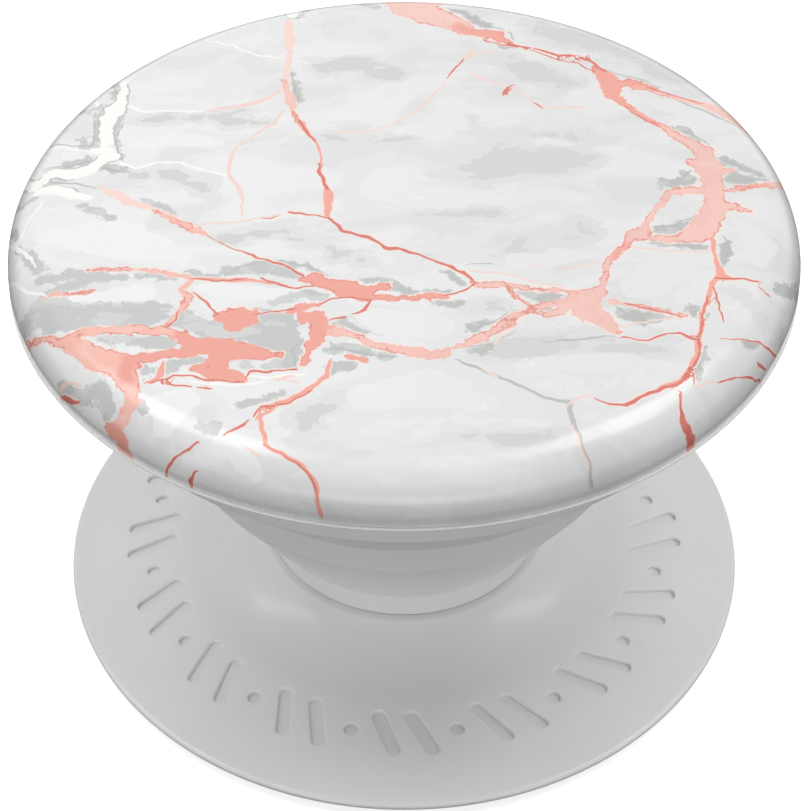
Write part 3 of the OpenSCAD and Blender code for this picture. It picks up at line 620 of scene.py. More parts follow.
        [(-7, -1.3, 0.03), (-6.6, -1.35, 0.05), (-6.2, -1.1, 0.03)],
        [(-9.6, -2.7, 0.04), (-8.6, -3.4, 0.05), (-7.8, -3.9, 0.05), (-7.2, -4.4, 0.09),
         (-6.4, -4.8, 0.07), (-5.6, -5.2, 0.08), (-4.8, -5.7, 0.09)],
        [(-6.7, -6, 0.05), (-6, -6.4, 0.07), (-5.2, -6.6, 0.06), (-4.4, -6.5, 0.06)],
        [(-10, -6, 0.04), (-8.8, -6.2, 0.05), (-7.6, -6, 0.05)],
        [(-3.9, -7.8, 0.05), (-3.4, -7.4, 0.06), (-2.6, -7.3, 0.05), (-1.8, -7.5, 0.05)],
        [(-1.6, -7.6, 0.05), (-1.9, -8.3, 0.07), (-2.4, -8.7, 0.05)],
        [(-2.9, -8.9, 0.06), (-3.5, -9, 0.05)],
        [(-10, -7, 0.04), (-9.2, -7.9, 0.06), (-8.9, -8.4, 0.06)],
        [(-11, -9.5, 0.03), (-10.7, -9, 0.05), (-10.6, -8.4, 0.04)],
        [(-7, -8.6, 0.03), (-6, -8.5, 0.05), (-5.2, -8.2, 0.05)],
        [(-7.1, -12.9, 0.05), (-7, -12.55, 0.06), (-6.2, -12.5, 0.07), (-5, -12.45, 0.06)],
        [(-11.4, -13.3, 0.05), (-10.4, -13, 0.06), (-9.6, -13, 0.06), (-8.6, -13.2, 0.05),
         (-7.4, -13.3, 0.06)],
        [(-10.8, -13.4, 0.04), (-10.2, -13.6, 0.06), (-9.7, -13.7, 0.05)],
        [(-9.3, -13.8, 0.05), (-8.8, -13.8, 0.08)],
        [(-8, -16.6, 0.05), (-7.4, -16.3, 0.07), (-7, -15.9, 0.06)],
        [(-12.4, -18.6, 0.1), (-11.6, -18, 0.08), (-10.6, -17.4, 0.06), (-9.4, -16.8, 0.06)],
        [(-10.4, -19, 0.12), (-10, -18.4, 0.1), (-9.6, -18.1, 0.05)],
        [(-6.7, -15.5, 0.05), (-6.5, -15, 0.06), (-5.8, -14.9, 0.05)],
        [(2, -7.2, 0.05), (2.9, -6.7, 0.06), (3.3, -6.3, 0.06)],
        [(13.1, -12.2, 0.06), (12.4, -13.4, 0.09), (11.6, -13.9, 0.08), (10.8, -14.3, 0.08),
         (10, -14.8, 0.08), (9.2, -14.8, 0.07), (8.6, -14.5, 0.04)],
        [(12.5, -13.9, 0.05), (12.6, -14.6, 0.08), (12.8, -15.1, 0.2), (13.4, -15.5, 0.26),
         (14.2, -16.1, 0.3), (15.6, -17.4, 0.36)],
        [(10.2, -10.2, 0.05), (11.4, -10.4, 0.06), (12.2, -9.9, 0.07), (12.8, -9.9, 0.08),
         (13.4, -10.4, 0.1)],
        [(14.8, -10.3, 0.03), (16, -10.1, 0.05), (17.6, -9.8, 0.07), (19.6, -9.4, 0.08)],
        [(14.6, -12.7, 0.05), (16, -11.9, 0.06), (17.6, -11.5, 0.06), (19, -11.4, 0.08)],
        [(17, -10.9, 0.1), (17.8, -10.8, 0.08)],
        [(14.8, -6.6, 0.05), (14.9, -7.8, 0.05), (15, -9, 0.04)],
        [(15, -5.9, 0.06), (16, -5.9, 0.06), (17, -6.1, 0.06)],
        [(17, -6.5, 0.04), (17.4, -6.8, 0.05)],
        [(13.2, -13.2, 0.04), (13.3, -12.4, 0.04)],
        [(14.1, -9, 0.04), (13.8, -10, 0.05), (13.6, -11.2, 0.04)],
        [(-17.6, -12.6, 0.15), (-16.6, -12.9, 0.14), (-15.6, -13.3, 0.08)],
        [(11.6, 8.2, 0.04), (12.6, 7.1, 0.05), (13.2, 6.5, 0.04)],
        [(13, 9.9, 0.05), (14.4, 9.2, 0.05), (15.6, 8.5, 0.05)],
        [(12.9, -8.7, 0.05), (11.8, -8.2, 0.05), (10.6, -7.8, 0.05)],
    ],
}


def unrolled(point):
    """A point of the cap's film, laid flat as seen from above, in millimetres."""
    x, y, z = (value / MM for value in point)
    r = math.hypot(x, y)
    if r <= EDGE_CENTRE[0]:
        return x, y
    turn = math.atan2(r - EDGE_CENTRE[0], z - EDGE_CENTRE[1])
    flat = EDGE_CENTRE[0] + CAP_EDGE * turn
    return x * flat / r, y * flat / r


def each_stretch(points, strokes):
    """For each straight stretch of the strokes, how every point lies to it.

    Gives the stretch's own direction, the way from the nearest spot on it to each point, how
    long that way is, and the half width at that spot.
    """
    for stroke in strokes:
        for (ax, ay, aw), (bx, by, bw) in zip(stroke, stroke[1:]):
            start, along = np.array([ax, ay]), np.array([bx - ax, by - ay])
            t = np.clip((points - start) @ along / (along @ along), 0, 1)
            away = points - start - t[:, None] * along
            yield along, away, np.linalg.norm(away, axis=1), aw + (bw - aw) * t


def stroke_distance(points, strokes):
    """Distance in millimetres from each point to the nearest stroke's edge, less inside one."""
    nearest = np.full(len(points), FAR)
    for _, _, gap, half_width in each_stretch(points, strokes):
        nearest = np.minimum(nearest, gap - half_width)
    return nearest


def line_side(points, lines):
    """How far each point lies beside its nearest line, in half widths, negative on its right.

    The value runs straight through zero on the line, so even a coarse mesh keeps it exact.
    """
    nearest, side = np.full(len(points), FAR), np.zeros(len(points))
    for along, away, gap, half_width in each_stretch(points, lines):
        hand = np.sign(along[0] * away[:, 1] - along[1] * away[:, 0])
        side = np.where(gap < nearest, hand * gap / half_width, side)
        nearest = np.minimum(nearest, gap)
    return side


def ragged(x, y):
    """The wander of a vein: a point shifted by coarse and fine noise."""
    coarse_scale, coarse_level, coarse_shift = 0.55, 3.0, 0.20
    fine_scale, fine_level, fine_shift = 2.0, 11.0, 0.11
    coarse = noise.noise_vector(Vector((x * coarse_scale, y * coarse_scale, coarse_level)))
    fine = noise.noise_vector(Vector((x * fine_scale, y * fine_scale, fine_level)))
    return (x + coarse_shift * coarse.x + fine_shift * fine.x,
            y + coarse_shift * coarse.y + fine_shift * fine.y)


def write_strokes(piece):
    """Stores each tone's distances on the mesh, for the print's material to read."""
    noise.seed_set(WANDER_SEED)
    points = np.array([ragged(*unrolled(v.co)) for v in piece.data.vertices])

    def store(name, values):
        layer = piece.data.attributes.new(name, "FLOAT", "POINT")
        layer.data.foreach_set("value", values.astype(np.float32))

    for tone, strokes in STROKES.items():
        store(tone, stroke_distance(points, strokes))
    for tone, lines in LINES.items():
        store(tone, stroke_distance(points, lines))
        store(tone + "_side", line_side(points, lines))


# The print's tones as display colours, 0 to 255. A "_right" one is its tone at the cap's right;
# the grey and white ones are darker there, partly print and partly painted shade for light from
# the left
INKS = {
    "pale": (240, 240, 240), "pale_right": (233, 233, 233),
    "middling": (236, 236, 236), "middling_right": (229, 229, 229),
    "dim": (231, 231, 231), "dim_right": (223, 224, 223), "misty": (214, 215, 214),
    "snow": (243, 243, 243), "snow_right": (232, 232, 232),
    "light_grey": (214, 216, 215), "light_grey_right": (203, 205, 203),
    "dark_grey": (203, 205, 204), "dark_grey_right": (190, 193, 190),
    "slate": (186, 189, 187), "cream_edge": (192, 195, 193), "cream": (255, 253, 250),
    "pearl": (255, 251, 249), "blush": (246, 217, 209), "petal": (250, 220, 211),
    "halo": (247, 230, 224), "peach": (250, 193, 179), "peach_right": (242, 197, 188),
    "peach_back": (249, 207, 197), "peach_mottle": (250, 206, 195),
    "salmon": (243, 170, 157), "dots": (238, 152, 138), "core": (226, 136, 122),
    "coral": (245, 173, 160), "rust": (222, 128, 115),
}


def ink(tone):
    """One of the print's tones, as the linear colour that nodes use."""
    return linear(*INKS[tone])


def marble_print():
    """Glossy print: pale marble in flat grey patches, with cream, peach and rose veins."""
    finish = Finish("marble_print", 0.24, specular=0.45, coat=0.2, coat_roughness=0.12)
    here = finish.place()
    drawn_out = finish.place((1.0, 1.8, 1.0))      # its noise is longer from left to right
    torn = finish.math("SUBTRACT", finish.noise(here, 1.9, 5.0, 0.65), 0.5)
    spiky = finish.math("MINIMUM", torn, 0.07)     # frays outwards more than it cuts in
    across = finish.node("ShaderNodeSeparateXYZ", {0: here}).outputs["X"]
    # painted shade: the grey and white tones darken from left to right, partly print and partly
    # painted shade
    rightward = finish.spread(across, -13.0, 11.0)

    def print_and_shade_rightward(tone):
        """A tone that darkens towards the cap's right: partly print, partly painted shade."""
        return finish.blend(rightward, ink(tone), ink(tone + "_right"))

    def stored(tone):
        """The distances that write_strokes() put on the mesh under this name."""
        return finish.node("ShaderNodeAttribute", attribute_name=tone).outputs["Fac"]

    def fill(tone, tear, edge=torn):
        """Distance from a tone's strokes, with a torn edge."""
        return finish.math("ADD", stored(tone), finish.math("MULTIPLY", edge, tear))

    def line(tone, wide=1.2, narrow=0.8, tear=1.6):
        """1 on a tone's thin lines, fading to 0 between two shares of their half width."""
        width = finish.math("ADD", finish.math("ABSOLUTE", stored(tone + "_side")),
                            finish.math("MULTIPLY", torn, tear))
        near = finish.spread(stored(tone), 0.14, 0.08)
        return finish.math("MULTIPLY", finish.spread(width, wide, narrow), near)

    # The stone: flat tones of near white and grey, long from left to right, lightest at left,
    # in part as painted shade for light from the left
    cloud = finish.noise(drawn_out, 0.20, 3.0, 0.5, 0.5)
    drift = finish.noise(drawn_out, 0.34, 3.0, 0.5, 0.6)
    dim = print_and_shade_rightward("dim")
    stone = finish.blend(finish.spread(cloud, 0.46, 0.48), print_and_shade_rightward("pale"), print_and_shade_rightward("middling"))
    stone = finish.blend(finish.spread(cloud, 0.57, 0.59), stone, dim)
    wander = finish.math("MULTIPLY", finish.math("SUBTRACT", drift, 0.5), 4.0)
    mist = finish.math("ADD", fill("mist", 0.8), wander)
    stone = finish.blend(finish.spread(mist, 0.35, 0.2), stone, dim)
    stone = finish.blend(finish.spread(mist, -0.3, -0.4), stone, ink("misty"))
    snow = finish.math("ADD", fill("snow", 0.6), finish.math("MULTIPLY", wander, 0.25))
    stone = finish.blend(finish.spread(snow, 0.15, 0.0), stone, print_and_shade_rightward("snow"))

    # Grey that gathers beside the veins, with darker hairlines
    smoke = fill("smoke", 1.3)
    light_grey = print_and_shade_rightward("light_grey")
    deep = finish.spread(finish.noise(drawn_out, 0.5, 3.0), 0.44, 0.46)
    grey = finish.blend(deep, light_grey, print_and_shade_rightward("dark_grey"))
    stone = finish.blend(finish.spread(smoke, 0.14, 0.09), stone, light_grey)
    stone = finish.blend(finish.spread(smoke, 0.05, 0.02), stone, grey)
    stone = finish.blend(finish.math("MULTIPLY", line("slate"), 0.85), stone, ink("slate"))

    # Cream veins with a thin grey line along parts of their edge, then the palest pink ones
    cream = fill("cream", 0.6, spiky)
    lined = finish.math("MULTIPLY", finish.spread(cream, 0.16, 0.11),
                        finish.spread(drift, 0.44, 0.48))
    stone = finish.blend(lined, stone, ink("cream_edge"))
    stone = finish.blend(finish.spread(cream, 0.06, 0.01), stone, ink("cream"))
    stone = finish.blend(line("pearl"), stone, ink("pearl"))
    stone = finish.blend(line("blush"), stone, ink("blush"))
    petal = fill("petal", 0.7, spiky)
    stone = finish.blend(finish.spread(petal, 0.05, 0.0), stone, ink("petal"))

    # Warm veins in a pale halo: peach, deeper salmon in places, and rust in the thin lines
    peach, salmon = fill("peach", 0.9, spiky), fill("salmon", 0.9, spiky)
    edge = finish.math("MINIMUM", peach, salmon)
    coral, rust = line("coral", tear=0.9), line("rust")
    halo = finish.math("MAXIMUM", line("coral", 1.9, 1.5), line("rust", 2.3, 1.9))
    halo = finish.math("MAXIMUM", halo, finish.spread(edge, 0.15, 0.10))
    halo = finish.math("MULTIPLY", halo, finish.spread(cloud, 0.54, 0.50, 0.25, 0.9))
    stone = finish.blend(halo, stone, ink("halo"))
    backward = finish.node("ShaderNodeSeparateXYZ", {0: here}).outputs["Y"]
    warm = finish.blend(finish.spread(across, -8.0, 6.0), ink("peach"), ink("peach_right"))
    warm = finish.blend(finish.spread(backward, 4.0, 12.0), warm, ink("peach_back"))
    mottle = finish.spread(finish.noise(here, 0.7, 3.0, 0.6), 0.42, 0.60, 0.0, 0.6)
    warm = finish.blend(mottle, warm, ink("peach_mottle"))
    warm = finish.blend(finish.spread(salmon, 0.35, -0.15), warm, ink("salmon"))
    dots = finish.spread(finish.noise(here, 2.6, 4.0, 0.7), 0.60, 0.68, 0.0, 0.5)
    warm = finish.blend(dots, warm, ink("dots"))
    core = finish.math("MULTIPLY", finish.spread(edge, -0.10, -0.02),
                       finish.spread(drift, 0.50, 0.53, 0.15, 0.8))
    warm = finish.blend(core, warm, ink("core"))
    warm = finish.blend(coral, warm, ink("coral"))
    inked = finish.math("MAXIMUM", finish.spread(edge, 0.05, 0.0),
                        finish.math("MAXIMUM", coral, rust))
    warm = finish.blend(rust, warm, ink("rust"))
    finish.colour(finish.blend(inked, stone, warm))

    finish.roughness(finish.spread(finish.noise(here, 0.4, 3.0), 0.3, 0.7, 0.22, 0.28))
    relief = finish.math("ADD", finish.math("MULTIPLY", inked, 0.5),
                         finish.math("MULTIPLY", finish.noise(here, 3.0, 2.0), 0.06))
    finish.bump(relief, 0.005)
    return finish


# ---------------------------------------------------------------- the cap
def film_outline():
    """The film's section: top face as fine rings, rounded edge, then back inside."""
    ring_gap = 0.16
    rings = int(EDGE_CENTRE[0] / ring_gap)
    top = [(EDGE_CENTRE[0] * i / rings, CAP_TOP) for i in range(rings)]
    foot = [(FILM_END_RADIUS, FILM_END), (FILM_END_RADIUS - FILM, FILM_END)]
    outer = arc(EDGE_CENTRE, CAP_EDGE, 90, 0, 22)
    inner = arc(EDGE_CENTRE, CAP_EDGE - FILM, 0, 90, 10)
    return top + outer + foot + inner + [(0, CAP_TOP - FILM)]


def make_cap_print():
    piece = revolve("cap_print", film_outline(), segments=640)
    write_strokes(piece)
    dress(piece, marble_print())
    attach(piece, "cap")
    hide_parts("print_film")


def make_cap_body(finish):
    """White shell under the print: bead at its lower rim, stepped recess and plug pocket."""
    recess_z, recess_r = UPPER_TOP + 0.1, UPPER_RADIUS + 0.3
    pocket_z, pocket_r = high("plug_bond_disc")[2], high("plug_bond_disc")[0]
    bead_r = FILM_END_RADIUS + 0.15
    bead_z = FILM_END - 0.01
    under_film = arc(EDGE_CENTRE, CAP_EDGE - FILM - SHELL_GAP, 0, 90, 20)
    lower = rounded([
        (0, pocket_z, 0), (pocket_r, pocket_z, 0), (pocket_r, recess_z, 0.06),
        (recess_r, recess_z, 0.12), (recess_r, CAP_FOOT, 0.16),
        (FILM_END_RADIUS, CAP_FOOT, 0.05), (bead_r, CAP_FOOT + 0.07, 0.04),
        (bead_r, bead_z, 0.06), (FILM_END_RADIUS - FILM, bead_z, 0)])
    outline = lower + under_film + [(0, CAP_TOP - FILM - SHELL_GAP)]
    piece = revolve("cap_body", outline, segments=288, closed=False)
    dress(piece, finish)
    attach(piece, "cap")
    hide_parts("cap_shell")


# ---------------------------------------------------------------- the accordion
SEAM_Z = MIDDLE_FOOT + 1.9         # where the two folding pieces meet, mid-way up the tier
SEAM_RADIUS = MIDDLE_KNEE[0] + ((MIDDLE_RADIUS - MIDDLE_KNEE[0]) * (SEAM_Z - MIDDLE_KNEE[1])
                                / (MIDDLE_TOP - MIDDLE_KNEE[1]))
SKIRT_SEAM = UPPER_FOOT + 2.2      # where the upper fold meets the upper shell


def densify(outline):
    """Splits long stretches of an outline, so that a fold can bend along them."""
    longest = 0.35
    fine = []
    for (ar, az), (br, bz) in zip(outline, outline[1:] + outline[:1]):
        parts = max(1, math.ceil(math.hypot(br - ar, bz - az) / longest))
        fine += [(ar + (br - ar) * i / parts, az + (bz - az) * i / parts)
                 for i in range(parts)]
    return fine


def make_lower_fold(finish):
    """Neck, collar wall, lower web and the foot of the middle tier, in one soft piece."""
    web = 0.66                     # the web's thickness along a radius
    neck_inner_r = 6.7
    over_lip = LIP_TOP + 0.03
    outline = rounded([
        (NECK_RADIUS, COLLAR_FOOT, 0), (NECK_RADIUS, over_lip, 0),
        (BORE_RADIUS + 0.12, over_lip, 0.03),
        (COLLAR_RADIUS - 0.22, COLLAR_TOP - 0.8, 0.3), (COLLAR_RADIUS, COLLAR_TOP, 0.12),
        (MIDDLE_FOOT_RADIUS, MIDDLE_FOOT, 0.16), MIDDLE_KNEE + (0.5,),
        (SEAM_RADIUS, SEAM_Z, 0), (SEAM_RADIUS - TIER_WALL, SEAM_Z, 0),
        (MIDDLE_KNEE[0] - TIER_WALL, MIDDLE_KNEE[1], 0.4),
        (MIDDLE_FOOT_RADIUS - TIER_WALL, MIDDLE_FOOT + 0.1, 0.1),
        (MIDDLE_FOOT_RADIUS - web, MIDDLE_FOOT, 0.08),
        (COLLAR_RADIUS - web, COLLAR_TOP, 0.1),
        (COLLAR_RADIUS - TIER_WALL, COLLAR_TOP - 0.05, 0.05),
        (neck_inner_r, SLEEVE_TOP, 0), (neck_inner_r, COLLAR_FOOT, 0)])
    piece = revolve("lower_fold", densify(outline), segments=224)
    dress(piece, finish)
    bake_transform(piece)
    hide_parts("collar_tier", "lower_web")


def make_upper_fold(finish):
    """Top of the middle tier, upper web and the lower half of the upper tier."""
    web = 0.72                     # the web's thickness along a radius
    outline = rounded([
        (SEAM_RADIUS, SEAM_Z, 0), (MIDDLE_RADIUS, MIDDLE_TOP, 0.14),
        (UPPER_RADIUS, UPPER_FOOT, 0.2), (UPPER_RADIUS, SKIRT_SEAM, 0),
        (UPPER_RADIUS - TIER_WALL, SKIRT_SEAM, 0),
        (UPPER_RADIUS - TIER_WALL, UPPER_FOOT + 0.1, 0.1),
        (UPPER_RADIUS - web, UPPER_FOOT, 0.08), (MIDDLE_RADIUS - web, MIDDLE_TOP, 0.08),
        (MIDDLE_RADIUS - TIER_WALL, MIDDLE_TOP - 0.1, 0.1),
        (SEAM_RADIUS - TIER_WALL, SEAM_Z, 0)])
    piece = revolve("upper_fold", densify(outline))
    dress(piece, finish)
    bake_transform(piece)
    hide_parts("middle_tier", "upper_web")


def make_upper_shell(finish):
    """Upper half of the top tier with its closing flange, recessed for the hub."""
    hub_r, hub_flange_r = 6.02, high("hub_ring")[0] + 0.02
    hub_step_z, flange_z = UPPER_TOP - 0.36, UPPER_TOP - 0.7
    outline = rounded([
        (UPPER_RADIUS, SKIRT_SEAM, 0), (UPPER_RADIUS, UPPER_TOP, 0.25),
        (hub_flange_r, UPPER_TOP, 0.05), (hub_flange_r, hub_step_z, 0),
        (hub_r, hub_step_z, 0), (hub_r, flange_z, 0.08),
        (UPPER_RADIUS - TIER_WALL, flange_z, 0.35),
        (UPPER_RADIUS - TIER_WALL, SKIRT_SEAM, 0)])
    piece = revolve("upper_shell", outline)
    dress(piece, finish)
    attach(piece, "upper")
    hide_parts("upper_tier")


# ---------------------------------------------------------------- the base
RIM_TOP = BASE_FOOT + 0.45         # where the flange's flat reaches its rounded edge
SWEEP_START = 12.2                 # radius where the flat turns up towards the lip
FLAT_RISE = 0.35                   # how much higher the flat is there
FLAT_END = BASE_RADIUS - 0.18
MARK_RING = 14.4                   # radius of the circle that the marks lie on
MARK_WIDTH, MARK_LENGTH, MARK_DEPTH = 0.8, 2.3, 0.25
MARK_SLANT = math.radians(24)
MARK_GROUPS = 16                   # two slanted bars and a dot in each
BAND = (12.6, 16.2)                # radii of the ring of faces that holds the marks
BAND_STEPS = 16                    # edges along the band in each group


def flat_height(r):
    """Height of the flange's top at a radius."""
    return RIM_TOP + FLAT_RISE * (FLAT_END - r) / (FLAT_END - SWEEP_START)


def mark_outline(mark, offset):
    """The outline of a mark, at an offset from its middle line.

    A mark is where it lies on its circle as an angle, its length, which is 0 for a dot, and
    its slant.
    """
    centre, length, slant = mark
    steps = 12
    ring = []
    for side in (1, -1):
        for i in range(steps + 1 if length else steps):
            turn = slant + math.pi * (i / steps - side / 2)
            x = MARK_RING + side * length / 2 * math.cos(slant) + offset * math.cos(turn)
            y = side * length / 2 * math.sin(slant) + offset * math.sin(turn)
            ring.append((x * math.cos(centre) - y * math.sin(centre),
                         x * math.sin(centre) + y * math.cos(centre)))
    return ring


def mark_distance(point, mark):
    """How far a point is from a mark's middle line."""
    centre, length, slant = mark
    x = point.x * math.cos(centre) + point.y * math.sin(centre) - MARK_RING
    y = -point.x * math.sin(centre) + point.y * math.cos(centre)
    along = x * math.cos(slant) + y * math.sin(slant)
    across = -x * math.sin(slant) + y * math.cos(slant)
    return math.hypot(max(abs(along) - length / 2, 0.0), across)


def mark_wall():
    """A mark's wall from the flat to its floor, as offsets and depths, rounded at both."""
    top, foot, lean = 0.05, 0.04, 0.02
    half = MARK_WIDTH / 2
    brow = arc((half + top, top), top, 270, 195, 3)
    heel = arc((half - lean - foot, MARK_DEPTH - foot), foot, 15, 90, 3)
    return brow + heel


def mark_sector():
    """Vertices and faces of one group's share of the band: the flat and its three marks.

    Vertices are in millimetres. The sector starts and ends between two marks.
    """
    group = 2 * math.pi / MARK_GROUPS
    marks = ((-group / 6, MARK_LENGTH, MARK_SLANT), (group / 6, MARK_LENGTH, MARK_SLANT),
             (group / 2, 0, 0))
    first = -0.375 * group
    angles = [first + group * i / BAND_STEPS for i in range(BAND_STEPS + 1)]
    inner, outer = [[(r * math.cos(a), r * math.sin(a)) for a in angles] for r in BAND]
    wall = mark_wall()
    points, edges = [], []
    for loop in [inner + outer[::-1]] + [mark_outline(mark, wall[0][0]) for mark in marks]:
        start, count = len(points), len(loop)
        points += [Vector(point) for point in loop]
        edges += [(start + i, start + (i + 1) % count) for i in range(count)]
    inside_outline, same_place = 1, 1e-6
    flat, _, triangles, *_ = geometry.delaunay_2d_cdt(points, edges, [], inside_outline,
                                                      same_place)
    vertices = [(p.x, p.y, flat_height(p.length)) for p in flat]
    faces = []
    brim = 0.985 * wall[0][0]      # a triangle whose middle is nearer than this is in a mark
    for triangle in triangles:
        middle = sum((flat[i] for i in triangle), Vector((0, 0))) / 3
        if all(mark_distance(middle, mark) > brim for mark in marks):
            faces.append(tuple(triangle))
    for mark in marks:
        rings = [mark_outline(mark, offset) for offset, _ in wall]
        count = len(rings[0])
        start = len(vertices)
        for ring, (_, depth) in zip(rings, wall):
            vertices += [(x, y, flat_height(math.hypot(x, y)) - depth) for x, y in ring]
        for step in range(len(rings) - 1):
            near = start + step * count
            faces += [(near + i, near + (i + 1) % count, near + count + (i + 1) % count,
                       near + count + i) for i in range(count)]
        faces.append(tuple(range(len(vertices) - count, len(vertices))))
    return vertices, faces


def make_platform(finish):
    """Round flange that sweeps up to the lip, with marks pressed into its top."""
    sweep_radius, sweep_top_radius = 6.81, 8.1
    sweep_z = RIM_TOP + FLAT_RISE + sweep_radius
    sweep_angle = math.degrees(math.asin((SWEEP_START - sweep_top_radius) / sweep_radius))
    sweep = arc((SWEEP_START, sweep_z), sweep_radius, 270 - sweep_angle, 270, 30)
    under_lip = 3                  # points at the sweep's top that the lip's fillet replaces
    lip = rounded([(BORE_RADIUS, BEARING_TOP, 0), (BORE_RADIUS, LIP_TOP, 0.1),
                   (sweep[0][0] - 0.1, LIP_TOP - 0.03, 0.25), sweep[under_lip] + (0,)])
    edge_radius = 0.22
    edge = arc((BASE_RADIUS - edge_radius, RIM_TOP - edge_radius), edge_radius, 80, -8, 8)
    outer_flat = [(r, flat_height(r)) for r in (BAND[1], 16.8, 17.6, 18.4, FLAT_END - 0.08)]
    inner_flat = [(BAND[0], flat_height(BAND[0]))]
    under = rounded([(BASE_RADIUS - 0.02, BASE_FOOT + 0.12, 0),
                     (BASE_RADIUS - 0.08, BASE_FOOT, 0.05),
                     (BEARING_RADIUS, BASE_FOOT, 0), (BEARING_RADIUS, BEARING_TOP, 0)])
    outline = outer_flat + edge + under + lip[:-1] + sweep[under_lip:] + inner_flat
    vertices, faces = turned(outline, MARK_GROUPS * BAND_STEPS, closed=False)
    sector, sector_faces = mark_sector()
    for group in range(MARK_GROUPS):
        a = 2 * math.pi * group / MARK_GROUPS
        start = len(vertices)
        vertices += [((x * math.cos(a) - y * math.sin(a)) * MM,
                      (x * math.sin(a) + y * math.cos(a)) * MM, z * MM) for x, y, z in sector]
        faces += [tuple(start + i for i in face) for face in sector_faces]
    piece = mesh_object("platform", vertices, faces)
    dress(piece, finish)
    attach(piece, "base")
    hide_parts("base_platform")


def gel_finish():
    """Reusable gel: pale, slightly clear, with a fine dimpled release texture below."""
    finish = Finish("gel", 0.42, specular=0.45)
    here = finish.place()
    cloud = finish.noise(here, 0.3, 4.0)
    finish.colour(finish.blend(finish.spread(cloud, 0.35, 0.7), linear(205, 207, 209),
                               linear(192, 195, 198)))
    dimples = finish.cells(here, 1.4)
    finish.roughness(finish.spread(dimples, 0.1, 0.6, 0.36, 0.5))
    finish.bump(finish.math("ADD", dimples, finish.noise(here, 5.0)), 0.03)
    return finish


def make_pad():
    """Gel pad: soft rounded edges, and a shallow ring pressed in under the bearing."""
    groove = 0.08                  # how deep the ring is
    outline = rounded([
        (0, PAD_TOP, 0), (PAD_RADIUS, PAD_TOP, 0.05), (PAD_RADIUS, 0, 0.14),
        (9.6, 0, 0.1), (9.4, groove, 0.05), (9.0, groove, 0.05), (8.8, 0, 0.1), (0, 0, 0)])
    piece = revolve("pad", outline, closed=False)
    dress(piece, gel_finish())
    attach(piece, "base")
    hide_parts("gel_pad")


def clear_film():
    """Thin clear bonding film with faint cloudiness."""
    finish = Finish("clear_film", 0.18)
    here = finish.place()
    finish.colour(finish.blend(finish.noise(here, 0.4, 4.0), linear(226, 229, 231),
                               linear(212, 216, 219)))
    finish.bump(finish.noise(here, 1.5, 2.0), 0.01)
    return finish


# ---------------------------------------------------------------- camera, light, floor
def make_camera():
    """The product shot: from in front, 43 degrees above, close enough for strong depth."""
    distance, elevation = 0.118, math.radians(43.46)
    target = Vector((0, 0, 0.010))
    data = bpy.data.cameras.new("camera")
    data.sensor_width = 36.0
    data.lens = 95.7
    data.shift_x, data.shift_y = 0.0016, 0.022
    data.clip_start = 0.005
    camera = bpy.data.objects.new("camera", data)
    camera.location = target + Vector((0, -distance * math.cos(elevation),
                                       distance * math.sin(elevation)))
    camera.rotation_euler = (math.pi / 2 - elevation, 0, 0)
    bpy.context.scene.collection.objects.link(camera)
    bpy.context.scene.camera = camera


def area_light(name, place, size, power):
    """A flat softbox, in metres and watts, that faces the middle of the object."""
    data = bpy.data.lights.new(name, "AREA")
    data.shape = "RECTANGLE"
    data.size, data.size_y = size
    data.energy = power
    light = bpy.data.objects.new(name, data)
    light.location = place
    aim = Vector((0, 0, 0.012)) - Vector(place)
    light.rotation_euler = aim.to_track_quat("-Z", "Y").to_euler()
    bpy.context.scene.collection.objects.link(light)


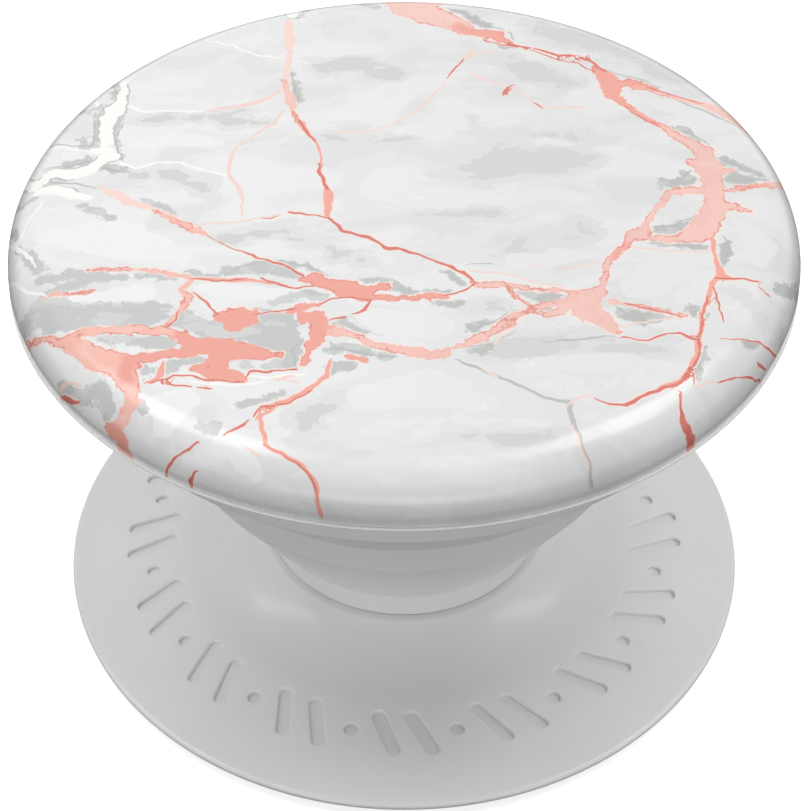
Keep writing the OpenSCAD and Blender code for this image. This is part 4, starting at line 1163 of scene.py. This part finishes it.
def make_studio():
    """A plain room that glows softly, and five softboxes."""
    scene = bpy.context.scene
    scene.view_settings.view_transform = "Standard"
    scene.view_settings.look = "None"
    world = bpy.data.worlds.new("studio")
    world.use_nodes = True
    tree = world.node_tree
    direction = tree.nodes.new("ShaderNodeTexCoord").outputs["Generated"]
    height = tree.nodes.new("ShaderNodeSeparateXYZ")
    share = tree.nodes.new("ShaderNodeMath")
    share.operation = "MULTIPLY_ADD"
    share.inputs[1].default_value = share.inputs[2].default_value = 0.5
    dome = tree.nodes.new("ShaderNodeValToRGB")
    # The room's glow by height, from -1 straight down to 1 straight up: dark below, bright
    # just above the horizon, then dim walls and a slightly lighter ceiling
    stops = ((-0.09, 0.06), (-0.06, 0.95), (0.22, 0.95), (0.42, 0.22), (0.65, 0.22),
             (0.85, 0.28), (1.0, 0.4))
    while len(dome.color_ramp.elements) < len(stops):
        dome.color_ramp.elements.new(0.5)
    for stop, (level, glow) in zip(dome.color_ramp.elements, stops):
        stop.position = (level + 1) / 2
        stop.color = (glow, glow, glow, 1)
    tree.links.new(direction, height.inputs[0])
    tree.links.new(height.outputs["Z"], share.inputs[0])
    tree.links.new(share.outputs[0], dome.inputs["Fac"])
    tree.links.new(dome.outputs["Color"], tree.nodes["Background"].inputs["Color"])
    scene.world = world
    area_light("front", (0, -0.60, 0.09), (0.6, 0.16), 0.47)
    area_light("front_above", (0, -0.42, 0.40), (0.5, 0.2), 0.10)
    area_light("back", (0, 0.46, 0.38), (1.0, 0.25), 0.35)
    area_light("left", (-0.27, 0.06, 0.53), (0.3, 0.3), 1.25)
    area_light("right", (0.27, 0.06, 0.53), (0.3, 0.3), 1.25)


def make_floor():
    """A plain pale floor under the grip, with a glow of its own so that it stays near white.

    It is left out of reflections and bounced light, so its glow doesn't light the object.
    """
    half = 1.5
    corners = [(-half, -half, 0), (half, -half, 0), (half, half, 0), (-half, half, 0)]
    floor = mesh_object("floor", corners, [(0, 1, 2, 3)])
    finish = Finish("floor_paper", 0.9, specular=0.1)
    here = finish.place()
    grey, lighter = (0.50, 0.50, 0.50, 1), (0.52, 0.52, 0.52, 1)
    finish.colour(finish.blend(finish.noise(here, 0.05, 2.0), grey, lighter))
    finish.shader.inputs["Emission Color"].default_value = (1, 1, 1, 1)
    finish.shader.inputs["Emission Strength"].default_value = 0.75
    dress(floor, finish)
    floor.visible_diffuse = False
    floor.visible_glossy = False


# ---------------------------------------------------------------- build
make_camera()
make_studio()
make_floor()

SOFT = moulded_plastic("soft_tpu", (241, 241, 241), (237, 237, 237), 0.42, 0.006)
BASE = moulded_plastic("base_plastic", (240, 240, 240), (236, 236, 236), 0.34, 0.004, coat=0.2)
SHELL = moulded_plastic("cap_plastic", (247, 247, 247), (244, 244, 244), 0.24, 0.004, coat=0.5)
HUB = moulded_plastic("hub_plastic", (216, 216, 217), (208, 208, 210), 0.45, 0.010)
CLEAR = clear_film()

make_cap_print()
make_cap_body(SHELL)
make_upper_shell(SOFT)
make_upper_fold(SOFT)
make_lower_fold(SOFT)
make_platform(BASE)
make_pad()

for node, finish in (("twist_plug", SHELL), ("hub_ring", HUB), ("swivel_ring", HUB),
                     ("backing_disc", HUB), ("adhesive_film", CLEAR),
                     ("plug_bond_disc", CLEAR)):
    dress(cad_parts[node], finish)
